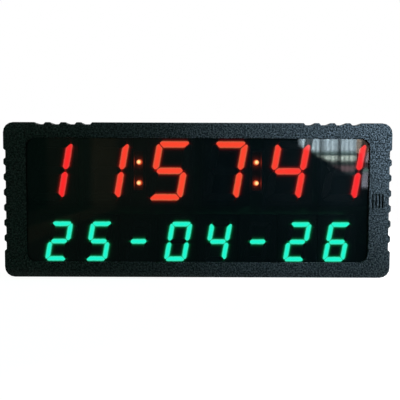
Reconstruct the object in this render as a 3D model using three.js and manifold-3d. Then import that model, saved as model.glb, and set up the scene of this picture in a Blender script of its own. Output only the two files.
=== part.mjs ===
// Digital wall clock: a long black case with a time row and a date row of seven-segment blocks behind
// a smoked window. Millimetres, +Z up. The front looks along -Y and the case stands on Z = 0.
import * as THREE from 'three';
import { mergeVertices } from 'three/addons/utils/BufferGeometryUtils.js';
import Module from 'manifold-3d';

const wasm = await Module();
wasm.setup();

// Fits shared by all pieces
const fitGap = 0.3;
const cutOverrun = 1;

// Time row: three pairs of digits with a colon between pairs
const timeDigitHeight = 60.3;
const timeDigitWidth = 36.4;
const timeStroke = 8;
const timeSideMargin = 0.5;
const timeEndMargin = 4.6;
const timePairGap = 7.75;

// Date row
const dateDigitHeight = 40.5;
const dateDigitWidth = 23.2;
const dateStroke = 5.75;
const dateSideMargin = 3.85;
const dateEndMargin = 6.65;
const dateBlockGap = 1.65;
const dateRowShift = 0.6;
const rowGap = 8.8;

// Digit blocks of both rows
const digitSlantDegrees = 10;
const blockDepth = 11;
const blockFace = 7;
const blockWall = 0.6;
const segmentInset = 0.2;
const lightClearance = 0.25;
const lightSink = 0.1;
const cornerNodeShare = 1 / 3;
const middleNodeShare = 1 / 2;

// Colons
const colonBlockWidth = 13.3;
const colonWellWidth = 9.3;
const colonWellHeight = 38;
const colonEndMargin = 3;
const colonFloor = 1.5;
const colonDrop = 1.6;
const ledSpacing = 20.8;
const ledRadius = 2.5;
const ledFlangeRadius = 2.9;
const ledFlange = 1;
const ledBarrel = 5;

// Window, the lip in front of it and the rebate that it lies in
const blockSideLap = 1.6;
const blockTopLap = 3;
const blockBottomLap = 7.5;
const windowCorner = 9;
const windowThickness = 2;
const windowLap = 2.6;
const lipThickness = 1.6;
const rebateDepth = 0.9;
const rebateGap = 0.4;
const rebateWidth = windowLap + rebateGap;
const digitStandoff = 4;

// Front shell
const bezelSide = 22;
const bezelEnd = 15.2;
const caseCorner = 10;
const shellWall = 4;
const bezelThickness = lipThickness + rebateDepth;
const caseEdgeBevel = 0.8;
const grooveDepth = 2;
const grooveMouth = 10.3;
const grooveFloor = 6.8;
const topGroovePitch = 15.2;
const topGrooveStart = 36.1;
const sideGroovePitch = 15;
const slitWidth = 1.3;
const slitLength = 14.3;
const slitPitch = 3.2;
const slitInset = 13.4;

// Posts, bosses and case screws
const casePostInset = 25;
const casePostClearance = 0.6;
const boardPostInset = 12;
const boardPostRise = 46;
const boardPostRadius = 3;
const bossDepth = 2.5;
const screwRadius = 1.45;
const screwLength = 10;
const screwHeadRadius = 2.7;
const screwHeadHeight = 1.9;
const screwSink = 2.9;
const screwSlotWidth = 0.7;
const screwSlotDepth = 0.8;

// Rear cover
const coverThickness = 2.5;
const ventWidth = 2;
const ventLength = 26;
const ventPitch = 5;
const ventX = 8;
const keyholeInset = 70;
const keyholeDrop = 40;
const keyholeRadius = 4.8;
const keySlotRadius = 2.5;
const keySlotLength = 11;

// Fold-out feet
const footInset = 50;
const footWidth = 18;
const footLength = 46;
const footThickness = 4;
const footPivotRise = 8.5;
const footSwingGap = 0.9;
const footPinRadius = 1.4;
const footPinLength = 1.6;
const footGroove = 1.2;
const footGrooveDrop = 5;
const pocketWall = 2.2;

// Main board
const boardThickness = 1.6;
const boardSideGap = 3;
const boardEndGap = 0.6;
const boardCorner = 2;
const chipWidth = 12;
const chipHeight = 8;
const chipThickness = 1.8;
const capacitorRadius = 4;
const capacitorHeight = 8;
const chipPlaceShares = [[-0.28, 0.3], [-0.03, 0.24], [0.28, 0.62], [0.4, 0.55]];
const capacitorPlaceShares = [[0.24, 0.2], [0.1, 0.16]];

// Buzzer behind the slits
const buzzerRadius = 6;
const buzzerHeight = 9.2;
const buzzerBevel = 0.8;
const buzzerPortRadius = 1.2;
const buzzerPortDepth = 2;

// Push buttons and their switches
const buttonRowX = 64;
const buttonDrop = 26;
const buttonPitch = 14;
const buttonRadius = 3.5;
const buttonSink = 0.4;
const buttonBevel = 0.5;
const buttonFlangeRadius = 4.5;
const buttonFlange = 1.2;
const buttonTravel = 0.8;
const buttonStemRadius = 1.7;
const buttonRecess = 1.5;
const buttonRecessMargin = 2;
const buttonPanel = 2;
const switchSide = 6.2;
const switchHeight = 3.5;
const switchFloor = 1;

// Coin cell, its holder and the hatch over it
const cellX = -56;
const cellRise = 84;
const cellRadius = 10;
const cellThickness = 3.2;
const cellStep = 0.5;
const cellPocketDepth = 3.5;
const holderSide = 24;
const holderHeight = 5.2;
const doorWidth = 28;
const doorHeight = 30;
const doorThickness = 2;
const doorWellSide = 22;
const doorWellNeck = 3.8;
const doorFrameWall = 2.6;
const doorFrameSkin = 2;
const doorPinRadius = 0.7;
const doorPinLength = 1.4;
const doorTongueWidth = 8;
const doorTongueThickness = 1.2;
const doorTongueReach = 1.6;
const doorTongueGap = 0.5;
const doorNotchRadius = 4;
const doorNotchDepth = 1.2;

// Power inlet
const jackX = 64;
const jackRise = 30;
const jackSide = 9;
const jackCollarRadius = 4.3;
const jackSink = 1;
const jackBoreRadius = 3.15;
const jackBoreDepth = 9.5;
const jackPinRadius = 1;
const jackPinSink = 1;

// Counts
const arcSteps = 6;
const roundSides = 20;
const smallSides = 12;
const cellSides = 32;
const domeSteps = 4;
const pairCount = 3;
const dateCount = 8;
const topGrooveCount = 4;
const sideGrooveCount = 7;
const slitCount = 4;
const ventCount = 7;
const layerGapCount = 6;

// Digit sizes of each row
const slantRise = Math.tan(THREE.MathUtils.degToRad(digitSlantDegrees));
const timeDigit = { height: timeDigitHeight, width: timeDigitWidth, stroke: timeStroke };
const dateDigit = { height: dateDigitHeight, width: dateDigitWidth, stroke: dateStroke };
const timeBlockWidth = timeDigitWidth + timeDigitHeight * slantRise + 2 * timeSideMargin;
const timeBlockHeight = timeDigitHeight + 2 * timeEndMargin;
const dateBlockWidth = dateDigitWidth + dateDigitHeight * slantRise + 2 * dateSideMargin;
const dateBlockHeight = dateDigitHeight + 2 * dateEndMargin;

// Widths of the rows, and the window and case round them
const pairWidth = 2 * timeBlockWidth + timePairGap;
const pairStep = pairWidth + colonBlockWidth + 2 * fitGap;
const timeRowWidth = (pairCount - 1) * pairStep + pairWidth;
const dateStep = dateBlockWidth + dateBlockGap;
const dateRowWidth = dateCount * dateStep - dateBlockGap;
const windowWidth = Math.max(timeRowWidth, dateRowWidth) - 2 * blockSideLap;
const windowHeight = timeBlockHeight + rowGap + dateBlockHeight - blockTopLap - blockBottomLap;
const windowLow = bezelEnd;
const windowHigh = windowLow + windowHeight;
const caseWidth = windowWidth + 2 * bezelSide;
const caseHeight = windowHeight + 2 * bezelEnd;
const caseMiddle = caseHeight / 2;
const timeRowZ = windowHigh + blockTopLap - timeBlockHeight / 2;
const dateRowZ = windowLow - blockBottomLap + dateBlockHeight / 2;

// Depth of the case: its layers from the front face to the hatch, with a gap between each and the next
const caseDepth = lipThickness + windowThickness + digitStandoff + blockDepth + boardThickness
  + holderHeight + doorWellNeck + doorFrameSkin + doorThickness + layerGapCount * fitGap;

// Places along Y, from the front face to the back
const frontFace = -caseDepth / 2;
const backFace = caseDepth / 2;
const bezelBack = frontFace + bezelThickness;
const bezelMiddle = frontFace + bezelThickness / 2;
const lipBack = frontFace + lipThickness;
const windowFront = lipBack + fitGap;
const windowBack = windowFront + windowThickness;
const blockFront = windowBack + digitStandoff;
const blockFaceBack = blockFront + blockFace;
const blockBack = blockFront + blockDepth;
const boardFront = blockBack + fitGap;
const boardBack = boardFront + boardThickness;
const partSeat = boardBack + fitGap;
const coverInner = backFace - coverThickness;
const coverMiddle = backFace - coverThickness / 2;

// Shapes from three.js turned into solids that can be joined and cut
function solid(geometry) {
  const bare = new THREE.BufferGeometry();
  bare.setAttribute('position', geometry.getAttribute('position'));
  bare.setIndex(geometry.getIndex());
  const merged = mergeVertices(bare);
  const corners = merged.getIndex().array;
  const faces = [];
  for (let i = 0; i < corners.length; i += 3) {
    const [a, b, c] = corners.slice(i, i + 3);
    if (a !== b && b !== c && c !== a) {
      faces.push(a, b, c);
    }
  }
  return new wasm.Manifold(new wasm.Mesh({
    numProp: 3,
    vertProperties: new Float32Array(merged.getAttribute('position').array),
    triVerts: new Uint32Array(faces),
  }));
}

function meshGeometry(body) {
  const { vertProperties, triVerts } = body.getMesh();
  const geometry = new THREE.BufferGeometry();
  geometry.setAttribute('position', new THREE.BufferAttribute(vertProperties, 3));
  geometry.setIndex(new THREE.BufferAttribute(triVerts, 1));
  geometry.computeVertexNormals();
  return geometry;
}

function span(centre, size) {
  return [centre - size / 2, centre + size / 2];
}

function box(x, y, z) {
  const geometry = new THREE.BoxGeometry(x[1] - x[0], y[1] - y[0], z[1] - z[0]);
  geometry.translate((x[0] + x[1]) / 2, (y[0] + y[1]) / 2, (z[0] + z[1]) / 2);
  return solid(geometry);
}

// A round bar along Y, from y[0] to y[1]
function rodY(radius, y, x = 0, z = 0, sides = roundSides) {
  const geometry = new THREE.CylinderGeometry(radius, radius, y[1] - y[0], sides);
  geometry.translate(x, (y[0] + y[1]) / 2, z);
  return solid(geometry);
}

// A round bar along X, from x[0] to x[1]
function rodX(radius, x, y = 0, z = 0) {
  const geometry = new THREE.CylinderGeometry(radius, radius, x[1] - x[0], smallSides);
  geometry.rotateZ(Math.PI / 2);
  geometry.translate((x[0] + x[1]) / 2, y, z);
  return solid(geometry);
}

// An outline drawn in X and Z, given depth along Y. A bevel takes off the edges of both end faces.
function prism(points, y, bevel = 0) {
  const geometry = new THREE.ExtrudeGeometry(new THREE.Shape(points), {
    depth: y[1] - y[0] - 2 * bevel,
    bevelEnabled: bevel > 0,
    bevelThickness: bevel,
    bevelSize: bevel,
    bevelOffset: -bevel,
    bevelSegments: 1,
  });
  geometry.rotateX(Math.PI / 2);
  geometry.translate(0, y[1] - bevel, 0);
  return solid(geometry);
}

// A profile of radius and height along Y, turned round that axis
function turned(profile, sides) {
  return solid(new THREE.LatheGeometry(profile.map(([r, y]) => new THREE.Vector2(r, y)), sides));
}

function arc(x, z, radius, quarter) {
  return Array.from({ length: arcSteps + 1 }, (_, i) => {
    const turn = (quarter + i / arcSteps) * Math.PI / 2;
    return new THREE.Vector2(x + radius * Math.cos(turn), z + radius * Math.sin(turn));
  });
}

function roundedRect(x, z, radius) {
  return [
    ...arc(x[0] + radius, z[0] + radius, radius, 2),
    ...arc(x[1] - radius, z[0] + radius, radius, 3),
    ...arc(x[1] - radius, z[1] - radius, radius, 0),
    ...arc(x[0] + radius, z[1] - radius, radius, 1),
  ];
}

function finish(color, roughness, metalness = 0, opacity = 1) {
  return new THREE.MeshStandardMaterial({ color, roughness, metalness, opacity, transparent: opacity < 1 });
}

// Finishes
const caseBlack = finish(0x101414, 0.75);
const coverBlack = finish(0x16191a, 0.7);
const smoked = finish(0x050607, 0.06, 0, 0.55);
const blockBlack = finish(0x0b0c0d, 0.6);
const redLight = finish(0xff3b1e, 0.4);
const greenLight = finish(0x1ef0be, 0.4);
const amberLight = finish(0xffb347, 0.3);
const boardGreen = finish(0x12402a, 0.5);
const steel = finish(0xa8abad, 0.35, 1);
const partBlack = finish(0x1a1a1b, 0.5);
const buttonGrey = finish(0x2b2e30, 0.6);

// Front shell
function grooves(start, along, inward, centres) {
  const profile = [
    [-grooveMouth / 2, 0],
    [-grooveFloor / 2, grooveDepth],
    [grooveFloor / 2, grooveDepth],
    [grooveMouth / 2, 0],
  ];
  return centres.flatMap((centre) => profile.map(([shift, depth]) => (
    start.clone().addScaledVector(along, centre + shift).addScaledVector(inward, depth)
  )));
}

function caseOutline() {
  const side = caseWidth / 2;
  const fromEnd = Array.from({ length: topGrooveCount }, (_, i) => topGrooveStart + i * topGroovePitch);
  const topCentres = [...fromEnd, ...fromEnd.map((x) => caseWidth - x).reverse()];
  const sideStart = caseMiddle - (sideGrooveCount - 1) * sideGroovePitch / 2;
  const sideCentres = Array.from({ length: sideGrooveCount }, (_, i) => sideStart + i * sideGroovePitch);
  const right = new THREE.Vector2(1, 0);
  const left = new THREE.Vector2(-1, 0);
  const up = new THREE.Vector2(0, 1);
  const down = new THREE.Vector2(0, -1);
  return [
    ...arc(caseCorner - side, caseCorner, caseCorner, 2),
    ...arc(side - caseCorner, caseCorner, caseCorner, 3),
    ...grooves(new THREE.Vector2(side, 0), up, left, sideCentres),
    ...arc(side - caseCorner, caseHeight - caseCorner, caseCorner, 0),
    ...grooves(new THREE.Vector2(side, caseHeight), left, down, topCentres),
    ...arc(caseCorner - side, caseHeight - caseCorner, caseCorner, 1),
    ...grooves(new THREE.Vector2(-side, caseHeight), down, right, sideCentres),
  ];
}

function windowOutline(grow) {
  return roundedRect(
    span(0, windowWidth + 2 * grow),
    [windowLow - grow, windowHigh + grow],
    windowCorner + grow,
  );
}

// The case posts stand between the rebate round the window and the top or bottom wall
const postRadius = (bezelEnd - rebateWidth - shellWall) / 2 - casePostClearance;
const postEndInset = (bezelEnd - rebateWidth + shellWall) / 2;
const postTop = coverInner - bossDepth - fitGap;
const screwSeat = backFace - screwSink;
const screwTip = screwSeat + fitGap - screwLength;
const postSide = caseWidth / 2 - casePostInset;
const casePosts = [
  [-postSide, postEndInset],
  [postSide, postEndInset],
  [-postSide, caseHeight - postEndInset],
  [0, caseHeight - postEndInset],
  [postSide, caseHeight - postEndInset],
];
const boardPostSide = caseWidth / 2 - boardPostInset;
const boardPosts = [-boardPostSide, boardPostSide].flatMap((x) => [
  [x, caseMiddle - boardPostRise],
  [x, caseMiddle + boardPostRise],
]);

const slitMiddle = caseWidth / 2 - slitInset;

function slits() {
  const first = slitMiddle - (slitCount - 1) * slitPitch / 2;
  const y = [frontFace - cutOverrun, bezelBack + cutOverrun];
  return Array.from({ length: slitCount }, (_, i) => (
    box(span(first + i * slitPitch, slitWidth), y, span(caseMiddle, slitLength))
  ));
}

function frontShell() {
  const cavity = roundedRect(
    span(0, caseWidth - 2 * shellWall),
    [shellWall, caseHeight - shellWall],
    caseCorner - shellWall,
  );
  let shell = prism(caseOutline(), [frontFace, backFace], caseEdgeBevel);
  shell = shell.subtract(prism(cavity, [bezelBack, backFace + cutOverrun]));
  shell = shell.subtract(prism(windowOutline(0), [frontFace - cutOverrun, bezelBack + cutOverrun]));
  shell = shell.subtract(prism(windowOutline(rebateWidth), [lipBack, bezelBack + cutOverrun]));
  for (const [x, z] of casePosts) {
    shell = shell.add(rodY(postRadius, [bezelMiddle, postTop], x, z));
    shell = shell.subtract(rodY(screwRadius + fitGap, [screwTip - fitGap, backFace], x, z, smallSides));
  }
  for (const [x, z] of boardPosts) {
    shell = shell.add(rodY(boardPostRadius, [bezelMiddle, boardFront - fitGap], x, z, smallSides));
  }
  for (const slit of slits()) {
    shell = shell.subtract(slit);
  }
  return shell;
}

// Case screw, its head at the back
function caseScrew() {
  const headFront = screwSeat + fitGap;
  const headBack = headFront + screwHeadHeight;
  const slotLength = 2 * (screwHeadRadius - screwSlotWidth);
  const slotY = [headBack - screwSlotDepth, headBack + cutOverrun];
  const head = rodY(screwHeadRadius, [headFront, headBack]);
  const shank = rodY(screwRadius, [screwTip, headFront + screwHeadHeight / 2], 0, 0, smallSides);
  return head.add(shank)
    .subtract(box(span(0, slotLength), slotY, span(0, screwSlotWidth)))
    .subtract(box(span(0, screwSlotWidth), slotY, span(0, slotLength)));
}

// Rear cover and what is cut into it
const coverSide = caseWidth / 2 - shellWall - fitGap;
const coverLow = shellWall + fitGap;
const coverHigh = caseHeight - coverLow;
const through = [frontFace, backFace + cutOverrun];

const footX = caseWidth / 2 - footInset;
const footPivotY = backFace - fitGap - footThickness / 2;
const pocketFloor = footPivotY - footThickness / 2 - fitGap;

function footPocket(x) {
  const low = footPivotRise - footThickness / 2 - footSwingGap;
  const high = footPivotRise + footLength + 2 * fitGap;
  const inside = footWidth + 2 * fitGap;
  const pinSpan = span(x, inside + 2 * (footPinLength + fitGap));
  const cavity = box(span(x, inside), [pocketFloor, backFace + cutOverrun], [low, high]);
  return {
    stock: box(
      span(x, inside + 2 * (pocketWall + fitGap)),
      [pocketFloor - pocketWall, coverMiddle],
      [coverLow, high + pocketWall],
    ),
    cuts: [cavity, rodX(footPinRadius + fitGap, pinSpan, footPivotY, footPivotRise)],
  };
}

const buttonZ = caseHeight - buttonDrop;
const buttonNames = ['set', 'up', 'down', 'alarm'];
const buttonPlaces = buttonNames.map((name, i) => ({
  name,
  x: buttonRowX + (i - (buttonNames.length - 1) / 2) * buttonPitch,
}));
const buttonPanelFace = backFace - buttonRecess;
const buttonPanelInner = buttonPanelFace - buttonPanel;

function buttonPanelParts() {
  const reach = (buttonNames.length - 1) * buttonPitch + 2 * (buttonFlangeRadius + buttonRecessMargin);
  const height = 2 * (buttonFlangeRadius + buttonRecessMargin);
  return {
    stock: box(
      span(buttonRowX, reach + 2 * buttonPanel),
      [buttonPanelInner, coverMiddle],
      span(buttonZ, height + 2 * buttonPanel),
    ),
    cuts: [
      box(span(buttonRowX, reach), [buttonPanelFace, backFace + cutOverrun], span(buttonZ, height)),
      ...buttonPlaces.map(({ x }) => rodY(buttonRadius + fitGap, through, x, buttonZ)),
    ],
  };
}

const holderBack = partSeat + holderHeight;
const doorPivotY = backFace - fitGap - doorThickness / 2;
const doorPivotZ = cellRise + (doorHeight - doorThickness) / 2;
const doorLedge = doorPivotY - doorThickness / 2 - fitGap;

function doorFrame() {
  const recessWidth = doorWidth + 2 * fitGap;
  const recessHeight = doorHeight + 2 * fitGap;
  const ledge = box(
    span(cellX, recessWidth + 2 * doorFrameWall),
    [doorLedge - doorFrameSkin, coverMiddle],
    span(cellRise, recessHeight + 2 * doorFrameWall),
  );
  const wellWall = box(
    span(cellX, doorWellSide + 2 * doorFrameSkin),
    [holderBack + fitGap, coverMiddle],
    span(cellRise, doorWellSide + 2 * doorFrameSkin),
  );
  const notchZ = cellRise - recessHeight / 2;
  return {
    stock: ledge.add(wellWall),
    cuts: [
      box(span(cellX, recessWidth), [doorLedge, backFace + cutOverrun], span(cellRise, recessHeight)),
      box(span(cellX, doorWellSide), through, span(cellRise, doorWellSide)),
      rodX(
        doorPinRadius + fitGap,
        span(cellX, recessWidth + 2 * (doorPinLength + fitGap)),
        doorPivotY,
        doorPivotZ,
      ),
      rodY(doorNotchRadius, [backFace - doorNotchDepth, backFace + cutOverrun], cellX, notchZ),
    ],
  };
}

function keyhole(x) {
  const z = caseHeight - keyholeDrop;
  return [
    rodY(keyholeRadius, through, x, z),
    box(span(x, 2 * keySlotRadius), through, [z, z + keySlotLength]),
    rodY(keySlotRadius, through, x, z + keySlotLength),
  ];
}

function vents() {
  return Array.from({ length: ventCount }, (_, i) => {
    const x = ventX + (i - (ventCount - 1) / 2) * ventPitch;
    return box(span(x, ventWidth), through, span(caseMiddle, ventLength));
  });
}

function rearCover() {
  const outline = roundedRect([-coverSide, coverSide], [coverLow, coverHigh], caseCorner - coverLow);
  const features = [footPocket(-footX), footPocket(footX), buttonPanelParts(), doorFrame()];
  let cover = prism(outline, [coverInner, backFace]);
  for (const [x, z] of casePosts) {
    cover = cover.add(rodY(postRadius, [coverInner - bossDepth, coverMiddle], x, z));
  }
  for (const [x, z] of boardPosts) {
    cover = cover.add(rodY(boardPostRadius, [boardBack + fitGap, coverMiddle], x, z, smallSides));
  }
  for (const { stock } of features) {
    cover = cover.add(stock);
  }
  const screwHoles = casePosts.flatMap(([x, z]) => [
    rodY(screwHeadRadius + fitGap, [screwSeat, backFace + cutOverrun], x, z),
    rodY(screwRadius + fitGap, through, x, z, smallSides),
  ]);
  const cuts = [
    ...features.flatMap((feature) => feature.cuts),
    ...screwHoles,
    ...keyhole(caseWidth / 2 - keyholeInset),
    ...keyhole(keyholeInset - caseWidth / 2),
    ...vents(),
    rodY(jackCollarRadius + fitGap, through, jackX, jackRise),
  ];
  for (const cut of cuts) {
    cover = cover.subtract(cut);
  }
  return cover;
}

// Fold-out foot, folded up, with its pivot at the origin
function foot() {
  const grooveTop = footLength - footGrooveDrop;
  const groove = box(
    span(0, footWidth / 2),
    [footThickness / 2 - footGroove, footThickness],
    [grooveTop - footGroove, grooveTop],
  );
  return box(span(0, footWidth), span(0, footThickness), [0, footLength])
    .add(rodX(footThickness / 2, span(0, footWidth)))
    .add(rodX(footPinRadius, span(0, footWidth + 2 * footPinLength)))
    .subtract(groove);
}

// Hatch over the coin cell, with its pivot at the origin
function batteryDoor() {
  const low = doorThickness / 2 - doorHeight;
  const wellLow = cellRise - doorWellSide / 2 - doorPivotZ;
  const tongueLow = wellLow + doorTongueGap;
  return box(span(0, doorWidth), span(0, doorThickness), [low, 0])
    .add(rodX(doorThickness / 2, span(0, doorWidth)))
    .add(rodX(doorPinRadius, span(0, doorWidth + 2 * doorPinLength)))
    .add(box(
      span(0, doorTongueWidth),
      [-doorThickness / 2 - doorTongueReach, 0],
      [tongueLow, tongueLow + doorTongueThickness],
    ));
}

// Digit blocks. The outlines are drawn upright round the digit's centre, then leaned over.
function mirrored(points, across, along) {
  const flipped = points.map((p) => new THREE.Vector2(p.x * across, p.y * along));
  return across * along < 0 ? flipped.reverse() : flipped;
}

function segments({ height, width, stroke }) {
  const side = width / 2;
  const top = height / 2;
  const corner = stroke * cornerNodeShare;
  const middle = stroke * middleNodeShare;
  const half = stroke / 2;
  const level = [
    [corner - side, top - corner],
    [stroke - side, top - stroke],
    [side - stroke, top - stroke],
    [side - corner, top - corner],
    [side - 2 * corner, top],
    [2 * corner - side, top],
  ].map(([x, z]) => new THREE.Vector2(x, z));
  const upright = [
    [side - middle, 0],
    [side, middle],
    [side, top - 2 * corner],
    [side - corner, top - corner],
    [side - stroke, top - stroke],
    [side - stroke, stroke - middle],
  ].map(([x, z]) => new THREE.Vector2(x, z));
  const centre = [
    [middle - side, 0],
    [middle - side + half, -half],
    [side - middle - half, -half],
    [side - middle, 0],
    [side - middle - half, half],
    [middle - side + half, half],
  ].map(([x, z]) => new THREE.Vector2(x, z));
  return [
    level,
    mirrored(level, 1, -1),
    centre,
    upright,
    mirrored(upright, 1, -1),
    mirrored(upright, -1, 1),
    mirrored(upright, -1, -1),
  ];
}

// Moves each edge of an anticlockwise outline inwards, and finds the new corners
function inset(points, distance) {
  const count = points.length;
  const edges = points.map((p, i) => {
    const along = points[(i + 1) % count].clone().sub(p).normalize();
    return { along, start: p.clone().add(new THREE.Vector2(-along.y, along.x).multiplyScalar(distance)) };
  });
  return edges.map(({ along, start }, i) => {
    const before = edges[(i + count - 1) % count];
    const gap = before.start.clone().sub(start);
    return start.clone().addScaledVector(along, gap.cross(before.along) / along.cross(before.along));
  });
}

function leaned(points) {
  return points.map((p) => new THREE.Vector2(p.x + p.y * slantRise, p.y));
}

function segmentPrisms(digit, shrink, y) {
  return segments(digit).map((points) => prism(leaned(inset(points, shrink)), y));
}

function digitFrame(digit, width, height) {
  let frame = box(span(0, width), [blockFront, blockBack], span(0, height));
  frame = frame.subtract(box(
    span(0, width - 2 * blockWall),
    [blockFaceBack, blockBack + cutOverrun],
    span(0, height - 2 * blockWall),
  ));
  const holes = segmentPrisms(digit, segmentInset, [blockFront - cutOverrun, blockFaceBack + cutOverrun]);
  for (const hole of holes) {
    frame = frame.subtract(hole);
  }
  return frame;
}

function digitLight(digit, width, height) {
  const slabFront = blockFaceBack + fitGap;
  const slabMiddle = (slabFront + blockBack) / 2;
  let light = box(
    span(0, width - 2 * (blockWall + fitGap)),
    [slabFront, blockBack - fitGap],
    span(0, height - 2 * (blockWall + fitGap)),
  );
  const bars = segmentPrisms(digit, segmentInset + lightClearance, [blockFront + lightSink, slabMiddle]);
  for (const bar of bars) {
    light = light.add(bar);
  }
  return light;
}

// Colons
function colonBlock() {
  return box(
    span(0, colonBlockWidth),
    [blockFront, blockBack],
    span(0, colonWellHeight + 2 * colonEndMargin),
  ).subtract(box(
    span(0, colonWellWidth),
    [blockFront - cutOverrun, blockBack - colonFloor],
    span(0, colonWellHeight),
  ));
}

// Round lamp with its foot at the origin and its dome along +Y
function colonLed() {
  const dome = Array.from({ length: domeSteps }, (_, i) => {
    const turn = i / domeSteps * Math.PI / 2;
    return [ledRadius * Math.cos(turn), ledBarrel + ledRadius * Math.sin(turn)];
  });
  return turned([
    [0, 0],
    [ledFlangeRadius, 0],
    [ledFlangeRadius, ledFlange],
    [ledRadius, ledFlange],
    ...dome,
    [0, ledBarrel + ledRadius],
  ], smallSides);
}

// Main board with the chips and capacitors soldered to its back
const boardSide = caseWidth / 2 - shellWall - boardSideGap;
const boardLow = postEndInset + postRadius + boardEndGap;
const boardHigh = caseHeight - boardLow;

function mainBoard() {
  const outline = roundedRect([-boardSide, boardSide], [boardLow, boardHigh], boardCorner);
  const boardMiddle = (boardFront + boardBack) / 2;
  const across = (share) => share * 2 * boardSide;
  const rise = (share) => boardLow + share * (boardHigh - boardLow);
  let board = prism(outline, [boardFront, boardBack]);
  for (const [x, z] of chipPlaceShares) {
    const chipY = [boardMiddle, boardBack + chipThickness];
    board = board.add(box(span(across(x), chipWidth), chipY, span(rise(z), chipHeight)));
  }
  for (const [x, z] of capacitorPlaceShares) {
    const canY = [boardMiddle, boardBack + capacitorHeight];
    board = board.add(rodY(capacitorRadius, canY, across(x), rise(z), smallSides));
  }
  return board;
}

// Buzzer with its foot at the origin and its port along +Y
function buzzer() {
  return turned([
    [0, 0],
    [buzzerRadius, 0],
    [buzzerRadius, buzzerHeight - buzzerBevel],
    [buzzerRadius - buzzerBevel, buzzerHeight],
    [buzzerPortRadius, buzzerHeight],
    [buzzerPortRadius, buzzerHeight - buzzerPortDepth],
    [0, buzzerHeight - buzzerPortDepth],
  ], roundSides);
}

// Push button: cap, flange behind the panel, and the stem that reaches into the switch
const switchBore = partSeat + switchFloor;

function pushButton() {
  const flangeBack = buttonPanelInner - fitGap;
  const flangeFront = flangeBack - buttonFlange;
  const capBack = backFace - buttonSink;
  const stemFront = switchBore + buttonTravel + fitGap;
  return turned([
    [0, stemFront],
    [buttonStemRadius, stemFront],
    [buttonStemRadius, flangeFront],
    [buttonFlangeRadius, flangeFront],
    [buttonFlangeRadius, flangeBack],
    [buttonRadius, flangeBack],
    [buttonRadius, capBack - buttonBevel],
    [buttonRadius - buttonBevel, capBack],
    [0, capBack],
  ], roundSides);
}

function tactSwitch() {
  const top = partSeat + switchHeight;
  return box(span(0, switchSide), [partSeat, top], span(0, switchSide))
    .subtract(rodY(buttonStemRadius + fitGap, [switchBore, top + cutOverrun], 0, 0, smallSides));
}

// Coin cell and holder
const pocketBottom = holderBack - cellPocketDepth;

function cellHolder() {
  return box(span(0, holderSide), [partSeat, holderBack], span(0, holderSide))
    .subtract(rodY(cellRadius + fitGap, [pocketBottom, holderBack + cutOverrun], 0, 0, cellSides));
}

function coinCell() {
  const front = pocketBottom + fitGap;
  const back = front + cellThickness;
  return rodY(cellRadius, [front + cellStep, back], 0, 0, cellSides)
    .add(rodY(cellRadius - cellStep, [front, back - cellStep], 0, 0, cellSides));
}

// Power inlet with its centre pin
function dcJack() {
  const collarBack = backFace - jackSink;
  const boreEnd = collarBack - jackBoreDepth;
  return box(span(0, jackSide), [partSeat, coverInner - fitGap], span(0, jackSide))
    .add(rodY(jackCollarRadius, [partSeat, collarBack]))
    .subtract(rodY(jackBoreRadius, [boreEnd, backFace]))
    .add(rodY(jackPinRadius, [partSeat, collarBack - jackPinSink], 0, 0, smallSides));
}

// Scene graph
const clock = new THREE.Group();

function group(name) {
  const made = new THREE.Group();
  made.name = name;
  clock.add(made);
  return made;
}

function place(parent, name, geometry, material, x = 0, y = 0, z = 0) {
  const mesh = new THREE.Mesh(geometry, material);
  mesh.name = name;
  mesh.position.set(x, y, z);
  parent.add(mesh);
  return mesh;
}

// For pieces turned along +Y that face the front
function placeFacingFront(...piece) {
  place(...piece).rotation.x = Math.PI;
}

function placeCase() {
  const casing = group('casing');
  const screw = meshGeometry(caseScrew());
  const footShape = meshGeometry(foot());
  place(casing, 'front_shell', meshGeometry(frontShell()), caseBlack);
  place(casing, 'window', meshGeometry(prism(windowOutline(windowLap), [windowFront, windowBack])), smoked);
  place(casing, 'rear_cover', meshGeometry(rearCover()), coverBlack);
  place(casing, 'foot_left', footShape, coverBlack, -footX, footPivotY, footPivotRise);
  place(casing, 'foot_right', footShape, coverBlack, footX, footPivotY, footPivotRise);
  place(casing, 'battery_door', meshGeometry(batteryDoor()), coverBlack, cellX, doorPivotY, doorPivotZ);
  casePosts.forEach(([x, z], i) => place(casing, `case_screw_${i + 1}`, screw, steel, x, 0, z));
}

function placeTimeRow() {
  const row = group('time_row');
  const frame = meshGeometry(digitFrame(timeDigit, timeBlockWidth, timeBlockHeight));
  const light = meshGeometry(digitLight(timeDigit, timeBlockWidth, timeBlockHeight));
  for (let pair = 0; pair < pairCount; pair += 1) {
    const centre = (pair - (pairCount - 1) / 2) * pairStep;
    span(centre, timeBlockWidth + timePairGap).forEach((x, i) => {
      const number = 2 * pair + i + 1;
      place(row, `time_digit_${number}_frame`, frame, blockBlack, x, 0, timeRowZ);
      place(row, `time_digit_${number}_light`, light, redLight, x, 0, timeRowZ);
    });
  }
}

function placeColons() {
  const row = group('colons');
  const block = meshGeometry(colonBlock());
  const led = meshGeometry(colonLed());
  const ledFoot = blockBack - colonFloor - fitGap;
  for (let colon = 1; colon < pairCount; colon += 1) {
    const x = (colon - pairCount / 2) * pairStep;
    const [lower, upper] = span(timeRowZ - colonDrop, ledSpacing);
    place(row, `colon_${colon}_block`, block, blockBlack, x, 0, timeRowZ);
    placeFacingFront(row, `colon_${colon}_upper_led`, led, amberLight, x, ledFoot, upper);
    placeFacingFront(row, `colon_${colon}_lower_led`, led, amberLight, x, ledFoot, lower);
  }
}

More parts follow.
